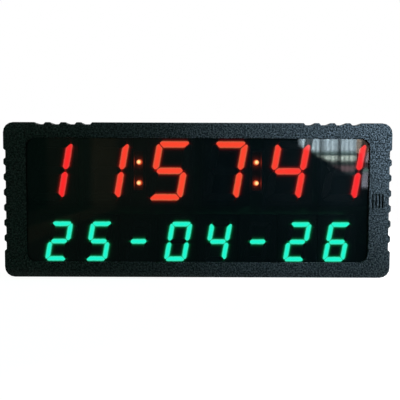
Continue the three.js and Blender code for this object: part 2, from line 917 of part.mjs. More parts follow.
function placeDateRow() {
  const row = group('date_row');
  const frame = meshGeometry(digitFrame(dateDigit, dateBlockWidth, dateBlockHeight));
  const light = meshGeometry(digitLight(dateDigit, dateBlockWidth, dateBlockHeight));
  for (let i = 0; i < dateCount; i += 1) {
    const x = dateRowShift + (i - (dateCount - 1) / 2) * dateStep;
    place(row, `date_digit_${i + 1}_frame`, frame, blockBlack, x, 0, dateRowZ);
    place(row, `date_digit_${i + 1}_light`, light, greenLight, x, 0, dateRowZ);
  }
}

function placeElectronics() {
  const electronics = group('electronics');
  const buttonShape = meshGeometry(pushButton());
  const switchShape = meshGeometry(tactSwitch());
  const buzzerShape = meshGeometry(buzzer());
  place(electronics, 'main_board', meshGeometry(mainBoard()), boardGreen);
  placeFacingFront(electronics, 'buzzer', buzzerShape, partBlack, slitMiddle, blockBack, caseMiddle);
  place(electronics, 'cell_holder', meshGeometry(cellHolder()), partBlack, cellX, 0, cellRise);
  place(electronics, 'coin_cell', meshGeometry(coinCell()), steel, cellX, 0, cellRise);
  place(electronics, 'dc_jack', meshGeometry(dcJack()), partBlack, jackX, 0, jackRise);
  for (const { name, x } of buttonPlaces) {
    place(electronics, `${name}_button`, buttonShape, buttonGrey, x, 0, buttonZ);
    place(electronics, `${name}_switch`, switchShape, partBlack, x, 0, buttonZ);
  }
}

placeCase();
placeTimeRow();
placeColons();
placeDateRow();
placeElectronics();

export default clock;
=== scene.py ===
"""Digital wall clock: the surface of every piece, in metres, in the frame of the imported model.

The front looks along -Y and the case stands on Z = 0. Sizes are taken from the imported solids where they
give them, and otherwise stand as fields of the class that uses them. In a finish, grain, mark, blot,
patch and cut are how large the spots of a noise are, and depth is how high the bumps stand.
"""

import logging
import math
from collections.abc import Callable, Iterable
from dataclasses import dataclass, field
from enum import Enum
from functools import reduce

import bmesh
import bpy
import numpy as np
from mathutils import Matrix, Vector


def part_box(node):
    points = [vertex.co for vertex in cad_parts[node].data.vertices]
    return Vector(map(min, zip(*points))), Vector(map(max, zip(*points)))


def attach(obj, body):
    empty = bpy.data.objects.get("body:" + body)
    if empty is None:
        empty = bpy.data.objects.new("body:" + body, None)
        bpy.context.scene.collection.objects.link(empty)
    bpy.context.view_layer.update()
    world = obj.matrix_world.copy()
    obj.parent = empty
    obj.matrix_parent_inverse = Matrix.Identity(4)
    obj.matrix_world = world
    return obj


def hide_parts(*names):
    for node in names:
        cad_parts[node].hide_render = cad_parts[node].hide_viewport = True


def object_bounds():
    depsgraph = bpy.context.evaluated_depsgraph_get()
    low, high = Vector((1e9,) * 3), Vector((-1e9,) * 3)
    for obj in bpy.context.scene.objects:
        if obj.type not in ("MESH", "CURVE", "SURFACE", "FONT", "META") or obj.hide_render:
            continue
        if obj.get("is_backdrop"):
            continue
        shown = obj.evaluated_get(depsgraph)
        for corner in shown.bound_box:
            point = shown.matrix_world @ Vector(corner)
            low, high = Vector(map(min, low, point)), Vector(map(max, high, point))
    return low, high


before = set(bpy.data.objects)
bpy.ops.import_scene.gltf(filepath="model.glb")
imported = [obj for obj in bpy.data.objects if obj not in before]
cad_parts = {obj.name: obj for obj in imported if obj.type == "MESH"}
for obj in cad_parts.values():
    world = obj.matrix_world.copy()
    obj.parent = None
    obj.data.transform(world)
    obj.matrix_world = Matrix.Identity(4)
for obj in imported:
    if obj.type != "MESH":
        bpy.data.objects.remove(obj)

Array = np.ndarray
Material = bpy.types.Material
Piece = bpy.types.Object
Colour = tuple[float, float, float]
Pair = tuple[float, float]
Stops = tuple[tuple[float, Colour], ...]
MM = 0.001
BLACK, WHITE = (0.0, 0.0, 0.0), (1.0, 1.0, 1.0)
SIDES = ("left", "right")
BUTTONS = ("set", "up", "down", "alarm")
SCREWS = [f"case_screw_{number}" for number in range(1, 6)]
log = logging.getLogger("clock")


# Shader nodes


def operator(operation: str, turned: bool = False) -> Callable[["Wire", "Wire | float"], "Wire"]:
    """An operator of Wire as one Math node; turned swaps its two values."""
    return lambda wire, other: wire.math(operation, *((other, wire) if turned else (wire, other)))


class Wire:
    """A socket that takes part in sums, each of which becomes a Math node."""

    def __init__(self, nodes: "Nodes", socket: bpy.types.NodeSocket) -> None:
        """Holds an output socket and the tree that it belongs to."""
        self.nodes = nodes
        self.socket = socket

    def math(self, operation: str, *values: "Wire | float") -> "Wire":
        """Joins values, wires or numbers, in one Math node."""
        return self.nodes.node("Math", {"operation": operation}, dict(enumerate(values)))

    __add__ = __radd__ = operator("ADD")
    __mul__ = __rmul__ = operator("MULTIPLY")
    __sub__ = operator("SUBTRACT")
    __rsub__ = operator("SUBTRACT", turned=True)
    __truediv__ = operator("DIVIDE")
    __rpow__ = operator("POWER", turned=True)

    def __abs__(self) -> "Wire":
        """The size of self without its sign."""
        return self.math("ABSOLUTE", self)

    def or_more(self, other: "Wire | float") -> "Wire":
        """The greater of the two."""
        return self.math("MAXIMUM", self, other)

    def step(self, low: float, high: float) -> "Wire":
        """A smooth step: 0 below low, 1 above high."""
        settings = {"interpolation_type": "SMOOTHSTEP"}
        return self.nodes.node("MapRange", settings, {0: self, 1: low, 2: high, 3: 0.0, 4: 1.0})


class Nodes:
    """A node tree, and the ways to add to it."""

    def __init__(self, tree: bpy.types.NodeTree) -> None:
        """Holds the tree."""
        self.tree = tree

    def node(self, kind: str, settings: dict | None = None, sockets: dict | None = None,
             output: int | str = 0) -> Wire:
        """Adds a node.

        Args:
            kind: the node's type, without its ShaderNode prefix.
            settings: its properties, which are set first.
            sockets: values or wires for its inputs, by name or number.
            output: the name or number of the output that is wanted.

        Returns:
            That output.
        """
        made = self.tree.nodes.new(f"ShaderNode{kind}")
        for name, value in (settings or {}).items():
            setattr(made, name, value)
        for key, value in (sockets or {}).items():
            self.join(made.inputs[key], value)
        return Wire(self, made.outputs[output])

    def join(self, socket: bpy.types.NodeSocket, value: Wire | float | tuple) -> None:
        """Links a wire to a socket, or sets a value on it.

        Args:
            socket: the input socket.
            value: the wire or the value.
        """
        if isinstance(value, Wire):
            self.tree.links.new(socket, value.socket)
        else:
            socket.default_value = value

    def seen(self) -> Wire:
        """1 for rays from the camera, off mirrors and through clear pieces, and 0 for all others."""
        kinds = ("Camera", "Glossy", "Transmission")
        return reduce(Wire.or_more, [self.node("LightPath", output=f"Is {kind} Ray") for kind in kinds])

    def surface(self, factor: Wire, first: Wire, second: Wire, output: str) -> None:
        """Makes a mix of two shaders the surface of the output node of a given name."""
        mixed = self.node("MixShader", None, {0: factor, 1: first, 2: second})
        self.join(self.tree.nodes[output].inputs["Surface"], mixed)


class Paint(Nodes):
    """One material: its shader, and the nodes that feed it."""

    def __init__(self, name: str, constants: dict[str, float | tuple]) -> None:
        """Makes a material.

        Args:
            name: the material's name.
            constants: values for the shader's own sockets, by socket name.
        """
        self.material = bpy.data.materials.new(name)
        self.material.use_nodes = True
        super().__init__(self.material.node_tree)
        self.shader = self.tree.nodes["Principled BSDF"]
        for socket, value in constants.items():
            self.feed(socket, value)

    def feed(self, socket: str, value: Wire | float | tuple) -> None:
        """Sets or links a socket of the shader; a colour gets its alpha.

        Args:
            socket: the socket's name.
            value: a wire, a number or a colour.
        """
        if isinstance(value, tuple) and len(value) == 3:
            value = (*value, 1.0)
        self.join(self.shader.inputs[socket], value)

    def finish(self, colour: Wire, roughness: Wire) -> Material:
        """Feeds the shader's base colour and roughness.

        Args:
            colour: its base colour.
            roughness: its roughness.

        Returns:
            The material.
        """
        self.feed("Base Color", colour)
        self.feed("Roughness", roughness)
        return self.material

    def bump(self, height: Wire, depth: float) -> None:
        """Feeds the shader's normal with bumps of a given depth in metres."""
        self.feed("Normal", self.node("Bump", None, {"Height": height, "Distance": depth}))

    def shine(self, light: Wire) -> Material:
        """Feeds the shader's emission, and gives the material."""
        self.feed("Emission Color", light)
        return self.material

    def place(self) -> Wire:
        """Object coordinates, in metres."""
        return self.node("TexCoord", output=3)

    def vector(self, operation: str, *values: Wire | tuple, output: int = 0) -> Wire:
        """A Vector Math node on these values."""
        return self.node("VectorMath", {"operation": operation}, dict(enumerate(values)), output)

    def along(self, direction: tuple, place: Wire | None = None) -> Wire:
        """How far a place, or else the point itself, lies along a direction: their dot product."""
        return self.vector("DOT_PRODUCT", place or self.place(), direction, output=1)

    def noise(self, size: float, detail: float = 2.0, place: Wire | None = None) -> Wire:
        """Soft noise with blots of about a given size in metres."""
        sockets = {"Vector": place or self.place(), "Scale": 1 / size, "Detail": detail}
        return self.node("TexNoise", None, sockets)

    def mix(self, factor: Wire, first: Wire | Colour, second: Wire | Colour) -> Wire:
        """A blend of two colours."""
        colours = [(*c, 1.0) if isinstance(c, tuple) else c for c in (first, second)]
        return self.node("Mix", {"data_type": "RGBA"}, {0: factor, 6: colours[0], 7: colours[1]}, 2)

    def tint(self, colour: Wire | Colour, amount: Wire) -> Wire:
        """A colour made stronger or weaker by a wire."""
        return self.node("VectorMath", {"operation": "SCALE"}, {0: colour, 3: amount})

    def ramp(self, stops: Stops, factor: Wire) -> Wire:
        """A colour that runs through stops.

        Args:
            stops: places from 0 to 1, each with its colour.
            factor: the place that is wanted.

        Returns:
            The colour there.
        """
        colour = self.node("ValToRGB", None, {0: factor})
        elements = colour.socket.node.color_ramp.elements
        while len(elements) < len(stops):
            elements.new(1.0)
        for element, (place, shade) in zip(elements, stops):
            element.position = place
            element.color = (*shade, 1.0)
        return colour


# Finishes


def times(colour: Colour, factor: float) -> Colour:
    """A colour made darker or paler."""
    return tuple(factor * channel for channel in colour)


@dataclass(frozen=True)
class GrainedPlastic:
    """Spark-eroded plastic: a coarse grain whose tips are painted paler, a painted highlight that stands for
    glints off the grain's facets.
    """

    name: str
    colour: Colour
    # tip: colour of the painted glints on the grain's tips
    tip: Colour
    grain: float
    depth: float
    roughness: float
    specular: float = 0.2
    patch: float = 60 * MM

    def paint(self) -> Material:
        """Builds the material.

        Returns:
            The material.
        """
        paint = Paint(self.name, {"Specular IOR Level": self.specular})
        height = paint.noise(self.grain, 3.0) * 0.7 + paint.noise(self.grain / 3, 1.0) * 0.3
        cloud = paint.noise(self.patch)
        # painted glints: the highest grain is painted in the tip colour, a painted highlight for glints off
        # its facets
        tips = height.step(0.4, 0.66)
        paint.bump(height, self.depth)
        # the painted glint colour goes on the tips, varied at random by the cloud
        colour = paint.mix(tips * (cloud * 0.6 + 0.7), self.colour, self.tip)
        return paint.finish(colour, self.roughness + (cloud - 0.5) * 0.2 - tips * 0.1)


@dataclass(frozen=True)
class SmokedAcrylic:
    """Dark polished sheet that lets strong light through, with faint wipe marks."""

    name: str = "smoked_acrylic"
    colour: Colour = (0.002, 0.003, 0.003)
    alpha: float = 0.4
    mark: float = 14 * MM

    def paint(self) -> Material:
        """Builds the material; light crosses two of its faces, and each lets 1 - alpha through.

        Returns:
            The material.
        """
        paint = Paint(self.name, {"Alpha": self.alpha, "IOR": 1.5, "Specular IOR Level": 1.0})
        stretched = paint.vector("MULTIPLY", paint.place(), (1.0, 1.0, 0.25))
        marks = paint.noise(self.mark, 4.0, stretched).step(0.45, 0.8)
        return paint.finish(paint.mix(marks, self.colour, times(self.colour, 2)), marks * 0.015 + 0.012)


@dataclass(frozen=True)
class Glow:
    """Light that spreads over a dark face round what shines: a bright edge, and a wide halo."""

    colour: Colour
    edge: float
    halo: float
    edge_reach: float
    halo_reach: float

    def over(self, distances: Iterable[Wire]) -> Wire:
        """Adds up the light of several shining forms.

        Edge and halo both fall off by e over their reach, and inside a form they are full.

        Args:
            distances: how far the point lies from each form, in metres.

        Returns:
            The strength of the light.
        """
        total: Wire | float = 0.0
        for distance in distances:
            away = distance.or_more(0.0)
            near = math.e ** (away * (-1 / self.edge_reach))
            far = math.e ** (away * (-1 / self.halo_reach))
            total = near * self.edge + far * self.halo + total
        return total


@dataclass(frozen=True)
class MattBlack:
    """Matt black plastic with a fine speck, on which a glow falls."""

    name: str
    glow: Glow
    grain: float = field(default=0.8 * MM, kw_only=True)

    def ground(self, dark: Colour, pale: Colour, roughness: float) -> tuple[Paint, Wire]:
        """Starts the material.

        Args:
            dark: its colour between the specks.
            pale: its colour on them.
            roughness: its least roughness.

        Returns:
            The paint, and its specks.
        """
        paint = Paint(self.name, {"Specular IOR Level": 0.25, "Emission Strength": 1.0})
        speck = paint.noise(self.grain)
        paint.finish(paint.mix(speck.step(0.4, 0.7), dark, pale), speck * 0.2 + roughness)
        return paint, speck


@dataclass(frozen=True)
class BlockFace(MattBlack):
    """Face of a digit block, with a glow round the bars that are lit."""

    lines: tuple[tuple[float, float, float, float], ...]
    half_stroke: float
    centre: Pair
    slant: float
    depth: float = 0.04 * MM

    def paint(self) -> Material:
        """Builds the material: the glow falls off with the distance from each bar.

        The point is moved to the digit's centre and set upright again. A bar is all that lies within half a
        stroke of its middle line, and the distance to that line is the sum, over X and Z, of what
        |point - middle| has over the line's half length, so that its ends are pointed.

        Returns:
            The material.
        """
        paint, speck = self.ground((0.0025, 0.003, 0.003), (0.006, 0.007, 0.007), 0.35)
        paint.bump(speck, self.depth)
        here = paint.vector("SUBTRACT", paint.place(), (self.centre[0], 0.0, self.centre[1]))
        lean = paint.node("CombineXYZ", None, {0: paint.along((0.0, 0.0, 1.0), here) * -self.slant})
        upright = paint.vector("ADD", paint.vector("MULTIPLY", here, (1.0, 0.0, 1.0)), lean)
        distances = []
        for x, z, half_width, half_height in self.lines:
            away = paint.vector("ABSOLUTE", paint.vector("SUBTRACT", upright, (x, 0.0, z)))
            outside = paint.vector("SUBTRACT", away, (half_width, 0.0, half_height))
            distances.append(paint.along(WHITE, paint.vector("MAXIMUM", outside, BLACK)) - self.half_stroke)
        return paint.shine(paint.tint(self.glow.colour, self.glow.over(distances)))


@dataclass(frozen=True)
class ColonWell(MattBlack):
    """Well whose floor and walls catch the light of two lamps."""

    lamps: tuple[Vector, ...]
    radius: float
    face: float
    fade: Pair = (0.05 * MM, 0.3 * MM)

    def paint(self) -> Material:
        """Builds the material: the glow falls off with the distance from each lamp, and stays off the face.

        Returns:
            The material.
        """
        paint, _ = self.ground((0.004, 0.005, 0.005), (0.02, 0.015, 0.015), 0.3)
        centres = [paint.vector("DISTANCE", paint.place(), tuple(lamp), output=1) for lamp in self.lamps]
        glow = self.glow.over(centre - self.radius for centre in centres)
        inside = paint.along((0.0, 1.0, 0.0)).step(*(self.face + depth for depth in self.fade))
        return paint.shine(paint.tint(self.glow.colour, glow * inside))


@dataclass(frozen=True)
class CastEpoxy:
    """Cloudy cast resin of a light guide that is switched off."""

    name: str
    colour: Colour = (0.012, 0.012, 0.012)
    patch: float = 2.5 * MM

    def paint(self) -> Material:
        """Builds the material.

        Returns:
            The material.
        """
        paint = Paint(self.name, {"Specular IOR Level": 0.3})
        cloud = paint.noise(self.patch, 3.0)
        colour = paint.mix(cloud.step(0.3, 0.7), times(self.colour, 0.6), self.colour)
        return paint.finish(colour, cloud * 0.15 + 0.25)


@dataclass(frozen=True)
class LitResin:
    """Resin that shines: its colour runs from rim to core with the mesh's own core attribute."""

    name: str
    stops: Stops
    strength: float = 3.0
    warm: Colour = BLACK
    blot: float = 3 * MM
    warm_fade: Pair = (30 * MM, 150 * MM)

    def paint(self) -> Material:
        """Builds the material; warm is added in the middle of the clock and fades out towards its ends.

        Returns:
            The material.
        """
        constants = {"Base Color": self.stops[0][1], "Roughness": 0.3, "Emission Strength": self.strength}
        paint = Paint(self.name, constants)
        core = paint.node("Attribute", {"attribute_name": "core"}, output=2)
        colour = paint.ramp(self.stops, core + (paint.noise(self.blot) - 0.5) * 0.25)
        middle = 1.0 - abs(paint.along((1.0, 0.0, 0.0))).step(*self.warm_fade)
        return paint.shine(paint.vector("ADD", colour, paint.tint(self.warm, middle)))


@dataclass(frozen=True)
class SatinPlastic:
    """Smooth moulded plastic with a fine skin, slightly dusty in places."""

    name: str
    colour: Colour
    roughness: float = 0.3
    grain: float = 0.35 * MM
    depth: float = 0.02 * MM
    patch: float = 18 * MM

    def paint(self) -> Material:
        """Builds the material.

        Returns:
            The material.
        """
        paint = Paint(self.name, {"Specular IOR Level": 0.35})
        fine = paint.noise(self.grain)
        dust = paint.noise(self.patch, 4.0).step(0.5, 0.85)
        pale = tuple(channel * 1.5 + 0.006 for channel in self.colour)
        paint.bump(fine, self.depth)
        roughness = fine * 0.12 + dust * 0.12 + self.roughness
        return paint.finish(paint.mix(dust * 0.6, self.colour, pale), roughness)


@dataclass(frozen=True)
class SolderResist:
    """Circuit board: green resist over copper tracks, which stand slightly proud."""

    name: str = "solder_resist"
    resist: Colour = (0.0035, 0.022, 0.009)
    track: Colour = (0.01, 0.055, 0.02)
    pitch: float = 2.4 * MM
    depth: float = 0.05 * MM
    cut: float = 22 * MM
    patch: float = 9 * MM

    def paint(self) -> Material:
        """Builds the material: tracks are the joints of a brick pattern seen along Y, cut by noise.

        Returns:
            The material.
        """
        paint = Paint(self.name, {"Specular IOR Level": 0.5})
        turned = paint.node("Mapping", None, {"Vector": paint.place(), "Rotation": (math.pi / 2, 0.0, 0.0)})
        sockets = {"Vector": turned, "Scale": 1 / self.pitch, "Mortar Size": 0.09, "Brick Width": 7.0}
        tracks = paint.node("TexBrick", None, sockets, 1) * paint.noise(self.cut, 1.0).step(0.42, 0.5)
        cloud = paint.noise(self.patch, 3.0)
        green = paint.mix(cloud, self.resist, times(self.resist, 0.8))
        paint.bump(tracks, self.depth)
        return paint.finish(paint.mix(tracks, green, self.track), cloud * 0.15 + 0.25)


@dataclass(frozen=True)
class TurnedMetal:
    """Plated steel with fine turning marks and a little tarnish."""

    name: str
    colour: Colour
    roughness: float
    mark: float = 0.6 * MM
    depth: float = 0.01 * MM
    patch: float = 4 * MM

    def paint(self) -> Material:
        """Builds the material.

        Returns:
            The material.
        """
        paint = Paint(self.name, {"Metallic": 1.0})
        marks = paint.noise(self.mark, 3.0, paint.vector("MULTIPLY", paint.place(), (1.0, 8.0, 1.0)))
        tarnish = paint.noise(self.patch, 3.0).step(0.5, 0.8)
        paint.bump(marks, self.depth)
        colour = paint.mix(tarnish * 0.5, self.colour, times(self.colour, 0.55))
        return paint.finish(colour, marks * 0.15 + tarnish * 0.2 + self.roughness)


# Surfaces on grids


@dataclass
class Form:
    """Points, and the faces between them; core says how near each point is to the heart of a light."""

    points: Array
    faces: list[list[int]]
    core: Array | None = None

    def __add__(self, other: "Form") -> "Form":
        """Both forms as one.

        Args:
            other: the form that comes second.

        Returns:
            The form; its faces count the points of both.
        """
        shifted = [[i + len(self.points) for i in face] for face in other.faces]
        core = None if self.core is None else np.concatenate([self.core, other.core])
        return Form(np.concatenate([self.points, other.points]), self.faces + shifted, core)

    def moved(self, x: float = 0.0, y: float = 0.0, z: float = 0.0) -> "Form":
        """The form in another place."""
        return Form(self.points + np.array([x, y, z]), self.faces, self.core)


def joined(forms: Iterable[Form]) -> Form:
    """All forms as one, in their order."""
    return reduce(Form.__add__, forms)


def skin(rows: Array, ends: bool = True, ring: bool = False, core: Array | None = None) -> Form:
    """A surface over a grid: rows of points, each row a closed loop.

    Each face joins points j and j + 1 of one row with the same points of the next row.

    Args:
        rows: an array of rows × points × 3.
        ends: closes the first and the last row with a flat face.
        ring: joins the last row to the first.
        core: rows × points, or rows × 1.

    Returns:
        The surface.
    """
    count, length = rows.shape[:2]
    index = np.arange(count * length).reshape(count, length)
    lower, upper = (index, np.roll(index, -1, 0)) if ring else (index[:-1], index[1:])
    quads = np.stack([lower, np.roll(lower, -1, 1), np.roll(upper, -1, 1), upper], -1)
    faces = quads.reshape(-1, 4).tolist()
    if ends and not ring:
        faces += [index[0].tolist(), index[-1].tolist()]
    core = None if core is None else np.broadcast_to(core, index.shape).ravel()
    return Form(rows.reshape(-1, 3), faces, core)


def lathe(profile: list[Pair] | Array, sides: int, ring: bool = False, core: Array | None = None) -> Form:
    """A profile turned round Y: x = r cos t, y = height, z = r sin t.

    Args:
        profile: radius and height of each row; it starts and ends on the axis, or closes on itself.
        sides: points in each row.
        ring: the profile closes on itself.
        core: one value for each row.

    Returns:
        The turned surface.
    """
    radius, height = np.array(profile).T
    flat = circle(0.0, 0.0, 1.0, sides) * radius[:, None, None]
    rows = np.stack(np.broadcast_arrays(flat[..., 0], height[:, None], flat[..., 1]), -1)
    return skin(rows, ends=False, ring=ring, core=None if core is None else core[:, None])


def arc(radius: float | Array, turn: Array) -> Array:
    """Points round the origin: (r cos t, r sin t)."""
    return radius * np.stack([np.cos(turn), np.sin(turn)], -1)


def circle(x: float, z: float, radius: float, sides: int) -> Array:
    """A round outline, anticlockwise."""
    return arc(radius, np.linspace(0, 2 * np.pi, sides, endpoint=False)) + [x, z]


def rounded(corners: Array, radius: float | Array, steps: int = 5) -> Array:
    """A closed outline with each corner turned into an arc.

    The arc meets both edges at radius ÷ tan(half the corner's angle) from the corner, and its centre lies
    on the line that halves the angle, at radius ÷ sin(half the angle).

    Args:
        corners: points × 2.
        radius: one radius, or one for each corner.
        steps: points in each arc.

    Returns:
        The outline's points, without doubles.
    """
    back, ahead = np.roll(corners, 1, 0) - corners, np.roll(corners, -1, 0) - corners
    lengths = [np.linalg.norm(edge, axis=1) for edge in (back, ahead)]
    back, ahead = back / lengths[0][:, None], ahead / lengths[1][:, None]
    half = np.arccos(np.clip((back * ahead).sum(1), -1, 1)) / 2
    reach = np.minimum(radius / np.tan(half), 0.499 * np.minimum(*lengths))
    bisector = (back + ahead) / np.linalg.norm(back + ahead, axis=1)[:, None]
    centre = corners + bisector * (reach / np.cos(half))[:, None]
    start, end = (corners + way * reach[:, None] - centre for way in (back, ahead))
    angle = np.arctan2(start[:, 1], start[:, 0])
    turn = (np.arctan2(end[:, 1], end[:, 0]) - angle + np.pi) % (2 * np.pi) - np.pi
    angles = angle[:, None] + turn[:, None] * np.linspace(0, 1, steps)
    arcs = arc(np.linalg.norm(start, axis=1)[:, None, None], angles)
    path = (centre[:, None] + arcs).reshape(-1, 2)
    return path[np.linalg.norm(path - np.roll(path, 1, 0), axis=1) > 1e-7]


def filled(path: Array, step: float) -> Array:
    """A closed outline with even points added.

    Args:
        path: points × 2.
        step: the most that two neighbours may lie apart.

    Returns:
        The outline: each edge cut into the fewest equal parts that are no longer than the step.
    """
    ahead = np.roll(path, -1, 0) - path
    parts = np.maximum(np.ceil(np.linalg.norm(ahead, axis=1) / step), 1).astype(int)
    which = np.repeat(np.arange(len(path)), parts)
    share = (np.arange(parts.sum()) - np.repeat(np.cumsum(parts) - parts, parts)) / parts[which]
    return path[which] + ahead[which] * share[:, None]


def inset(path: Array, distance: float) -> Array:
    """An outline moved inwards, each point along the mitre of its two edges' normals.

    Args:
        path: points × 2, anticlockwise.
        distance: how far each edge moves; below 0 it moves outwards.

    Returns:
        The outline: point + (n + m) ÷ (1 + n · m) × distance, where n and m are the two normals.
    """
    edge = np.roll(path, -1, 0) - path
    edge /= np.linalg.norm(edge, axis=1)[:, None]
    normal = np.stack([-edge[:, 1], edge[:, 0]], -1)
    before = np.roll(normal, 1, 0)
    return path + (normal + before) / (1 + (normal * before).sum(1))[:, None] * distance


def rectangle(x: Pair, z: Pair, radius: float) -> Array:
    """A rectangle with round corners between two ends in X and two in Z, anticlockwise."""
    return rounded(np.array([[x[0], z[0]], [x[1], z[0]], [x[1], z[1]], [x[0], z[1]]]), radius)


def about(centre: float, size: float) -> Pair:
    """The two ends of a span of a given size round a centre."""
    return centre - size / 2, centre + size / 2


def oblong(x: float, z: float, size: Pair, radius: float) -> Array:
    """A rectangle with round corners round a centre, anticlockwise."""
    return rectangle(about(x, size[0]), about(z, size[1]), radius)


def quarter(radius: float, steps: int = 4) -> Array:
    """A rounded edge: for each step how far it lies inside the side, and how far behind the face."""
    turn = np.linspace(0, np.pi / 2, steps)
    return radius * np.stack([1 - np.sin(turn), 1 - np.cos(turn)], -1)


def raised(rows: Iterable[tuple[Array, float]]) -> Array:
    """Outlines in X and Z as the rows of a grid, each at its own Y."""
    return np.stack([np.insert(outline, 1, at, axis=1) for outline, at in rows])


def stepped(outline: Array, steps: Iterable[Pair]) -> Form:
    """A closed form: at each step the outline moved inwards by its first value, at its second in Y."""
    return skin(raised((inset(outline, inwards), at) for inwards, at in steps))


class Along(Enum):
    """The direction that a plate's thickness runs in, as the order of its three coordinates."""

    Y = (0, 1, 2)
    X = (1, 0, 2)


def plate(outline: Array, span: Pair, edge: float = 0.3 * MM, along: Along = Along.Y) -> Form:
    """An outline given thickness, with both rims rounded.

    Each row is the outline moved inwards by edge × (1 - sin a), at edge × (1 - cos a) from the end face.

    Args:
        outline: points × 2, anticlockwise.
        span: where the thickness starts and ends.
        edge: radius of the rims.
        along: the direction of the thickness.

    Returns:
        The closed plate.
    """
    rim = quarter(edge)
    ends = [(step, span[0] + depth) for step, depth in rim]
    ends += [(step, span[1] - depth) for step, depth in rim[::-1]]
    form = stepped(outline, ends)
    form.points = form.points[:, list(along.value)]
    return form


# Pieces


@dataclass(frozen=True)
class Box:
    """The box that a CAD node fills, in metres."""

    low: Vector
    high: Vector

    @classmethod
    def of(cls, node: str) -> "Box":
        """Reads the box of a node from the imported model."""
        return cls(*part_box(node))

    @property
    def middle(self) -> Vector:
        """The centre of the box."""
        return (self.low + self.high) / 2

    @property
    def axis(self) -> tuple[float, float, float, float]:
        """Its middle in X and in Z, and its two ends in Y."""
        return self.middle.x, self.middle.z, self.low.y, self.high.y


def added(name: str, data: bpy.types.ID) -> Piece:
    """Makes an object and puts it in the scene.

    Args:
        name: its name.
        data: its mesh, light or camera.

    Returns:
        The object.
    """
    made = bpy.data.objects.new(name, data)
    bpy.context.scene.collection.objects.link(made)
    return made


def solid(name: str, form: Form, material: Material, smooth: float = 35.0) -> Piece:
    """Makes a closed surface an object.

    Args:
        name: the object's name.
        form: its points and faces.
        material: its finish.
        smooth: edges that turn by more than this many degrees stay sharp.

    Returns:
        The object, at the origin, with its place in its mesh.
    """
    mesh = bpy.data.meshes.new(name)
    mesh.from_pydata(form.points.tolist(), [], form.faces)
    if form.core is not None:
        mesh.attributes.new("core", "FLOAT", "POINT").data.foreach_set("value", form.core)
    tidy(mesh, smooth)
    mesh.materials.append(material)
    return added(name, mesh)


def tidy(mesh: bpy.types.Mesh, smooth: float) -> None:
    """Merges doubles, points the faces outwards and shades all but the sharp edges smooth.

    Args:
        mesh: the mesh that changes.
        smooth: edges that turn by more than this many degrees stay sharp.
    """
    work = bmesh.new()
    work.from_mesh(mesh)
    bmesh.ops.remove_doubles(work, verts=work.verts, dist=1e-7)
    bmesh.ops.recalc_face_normals(work, faces=work.faces)
    work.to_mesh(mesh)
    work.free()
    mesh.shade_smooth()
    mesh.set_sharp_from_angle(angle=math.radians(smooth))


class Carving(Enum):
    """What carving does with its forms."""

    JOIN = "UNION"
    CUT = "DIFFERENCE"


def carve(piece: Piece, carving: Carving, forms: list[Form], smooth: float = 35.0) -> None:
    """Joins forms to a piece or cuts them from it, and makes the result the piece's mesh.

    Args:
        piece: the piece that changes.
        carving: whether the forms are joined or cut.
        forms: closed forms that don't reach into each other.
        smooth: edges that turn by more than this many degrees stay sharp.
    """
    tool = solid("tool", joined(forms), piece.data.materials[0])
    modifier = piece.modifiers.new("carve", "BOOLEAN")
    modifier.operation = carving.value
    modifier.solver = "EXACT"
    modifier.object = tool
    shape = piece.evaluated_get(bpy.context.evaluated_depsgraph_get())
    mesh = bpy.data.meshes.new_from_object(shape)
    piece.modifiers.clear()
    old = piece.data
    piece.data = mesh
    mesh.name = piece.name
    bpy.data.meshes.remove(old)
    bpy.data.objects.remove(tool)
    tidy(mesh, smooth)


class Assembly:
    """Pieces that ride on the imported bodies, each with its finish."""

    def dress(self, node: str, material: Material, edge: float = 0.0) -> None:
        """Gives a CAD node its finish.

        Args:
            node: the node's name.
            material: its finish.
            edge: radius of its edges, if they are rounded.
        """
        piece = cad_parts[node]
        piece.data.materials.clear()
        piece.data.materials.append(material)
        if edge > 0:
            weld = piece.modifiers.new("weld", "WELD")
            weld.merge_threshold = 0.005 * MM
            flat = piece.modifiers.new("flat", "DECIMATE")
            flat.decimate_type = "DISSOLVE"
            flat.angle_limit = math.radians(0.5)
            bevel = piece.modifiers.new("bevel", "BEVEL")
            bevel.width = edge
            bevel.segments = 2
            bevel.angle_limit = math.radians(40)
            bevel.harden_normals = True
        log.info("dressed %s", node)

    def seat(self, piece: Piece, body: str, slot: str, *replaced: str) -> None:
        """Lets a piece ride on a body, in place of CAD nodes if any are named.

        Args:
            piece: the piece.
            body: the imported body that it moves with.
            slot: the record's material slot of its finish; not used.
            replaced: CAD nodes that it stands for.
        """
        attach(piece, body)
        if replaced:
            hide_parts(*replaced)
        log.info("built %s on %s", piece.name, body)

    def turned(self, name: str, node: str, profile: list[Pair] | Array, sides: int,
               material: Material) -> Piece:
        """A profile turned round the axis along Y of a CAD node.

        Args:
            name: the piece's name.
            node: the node.
            profile: radius and Y of each row.
            sides: points in each row.
            material: its finish.

        Returns:
            The piece.
        """
        x, z, _, _ = Box.of(node).axis
        return solid(name, lathe(profile, sides).moved(x, 0.0, z), material)


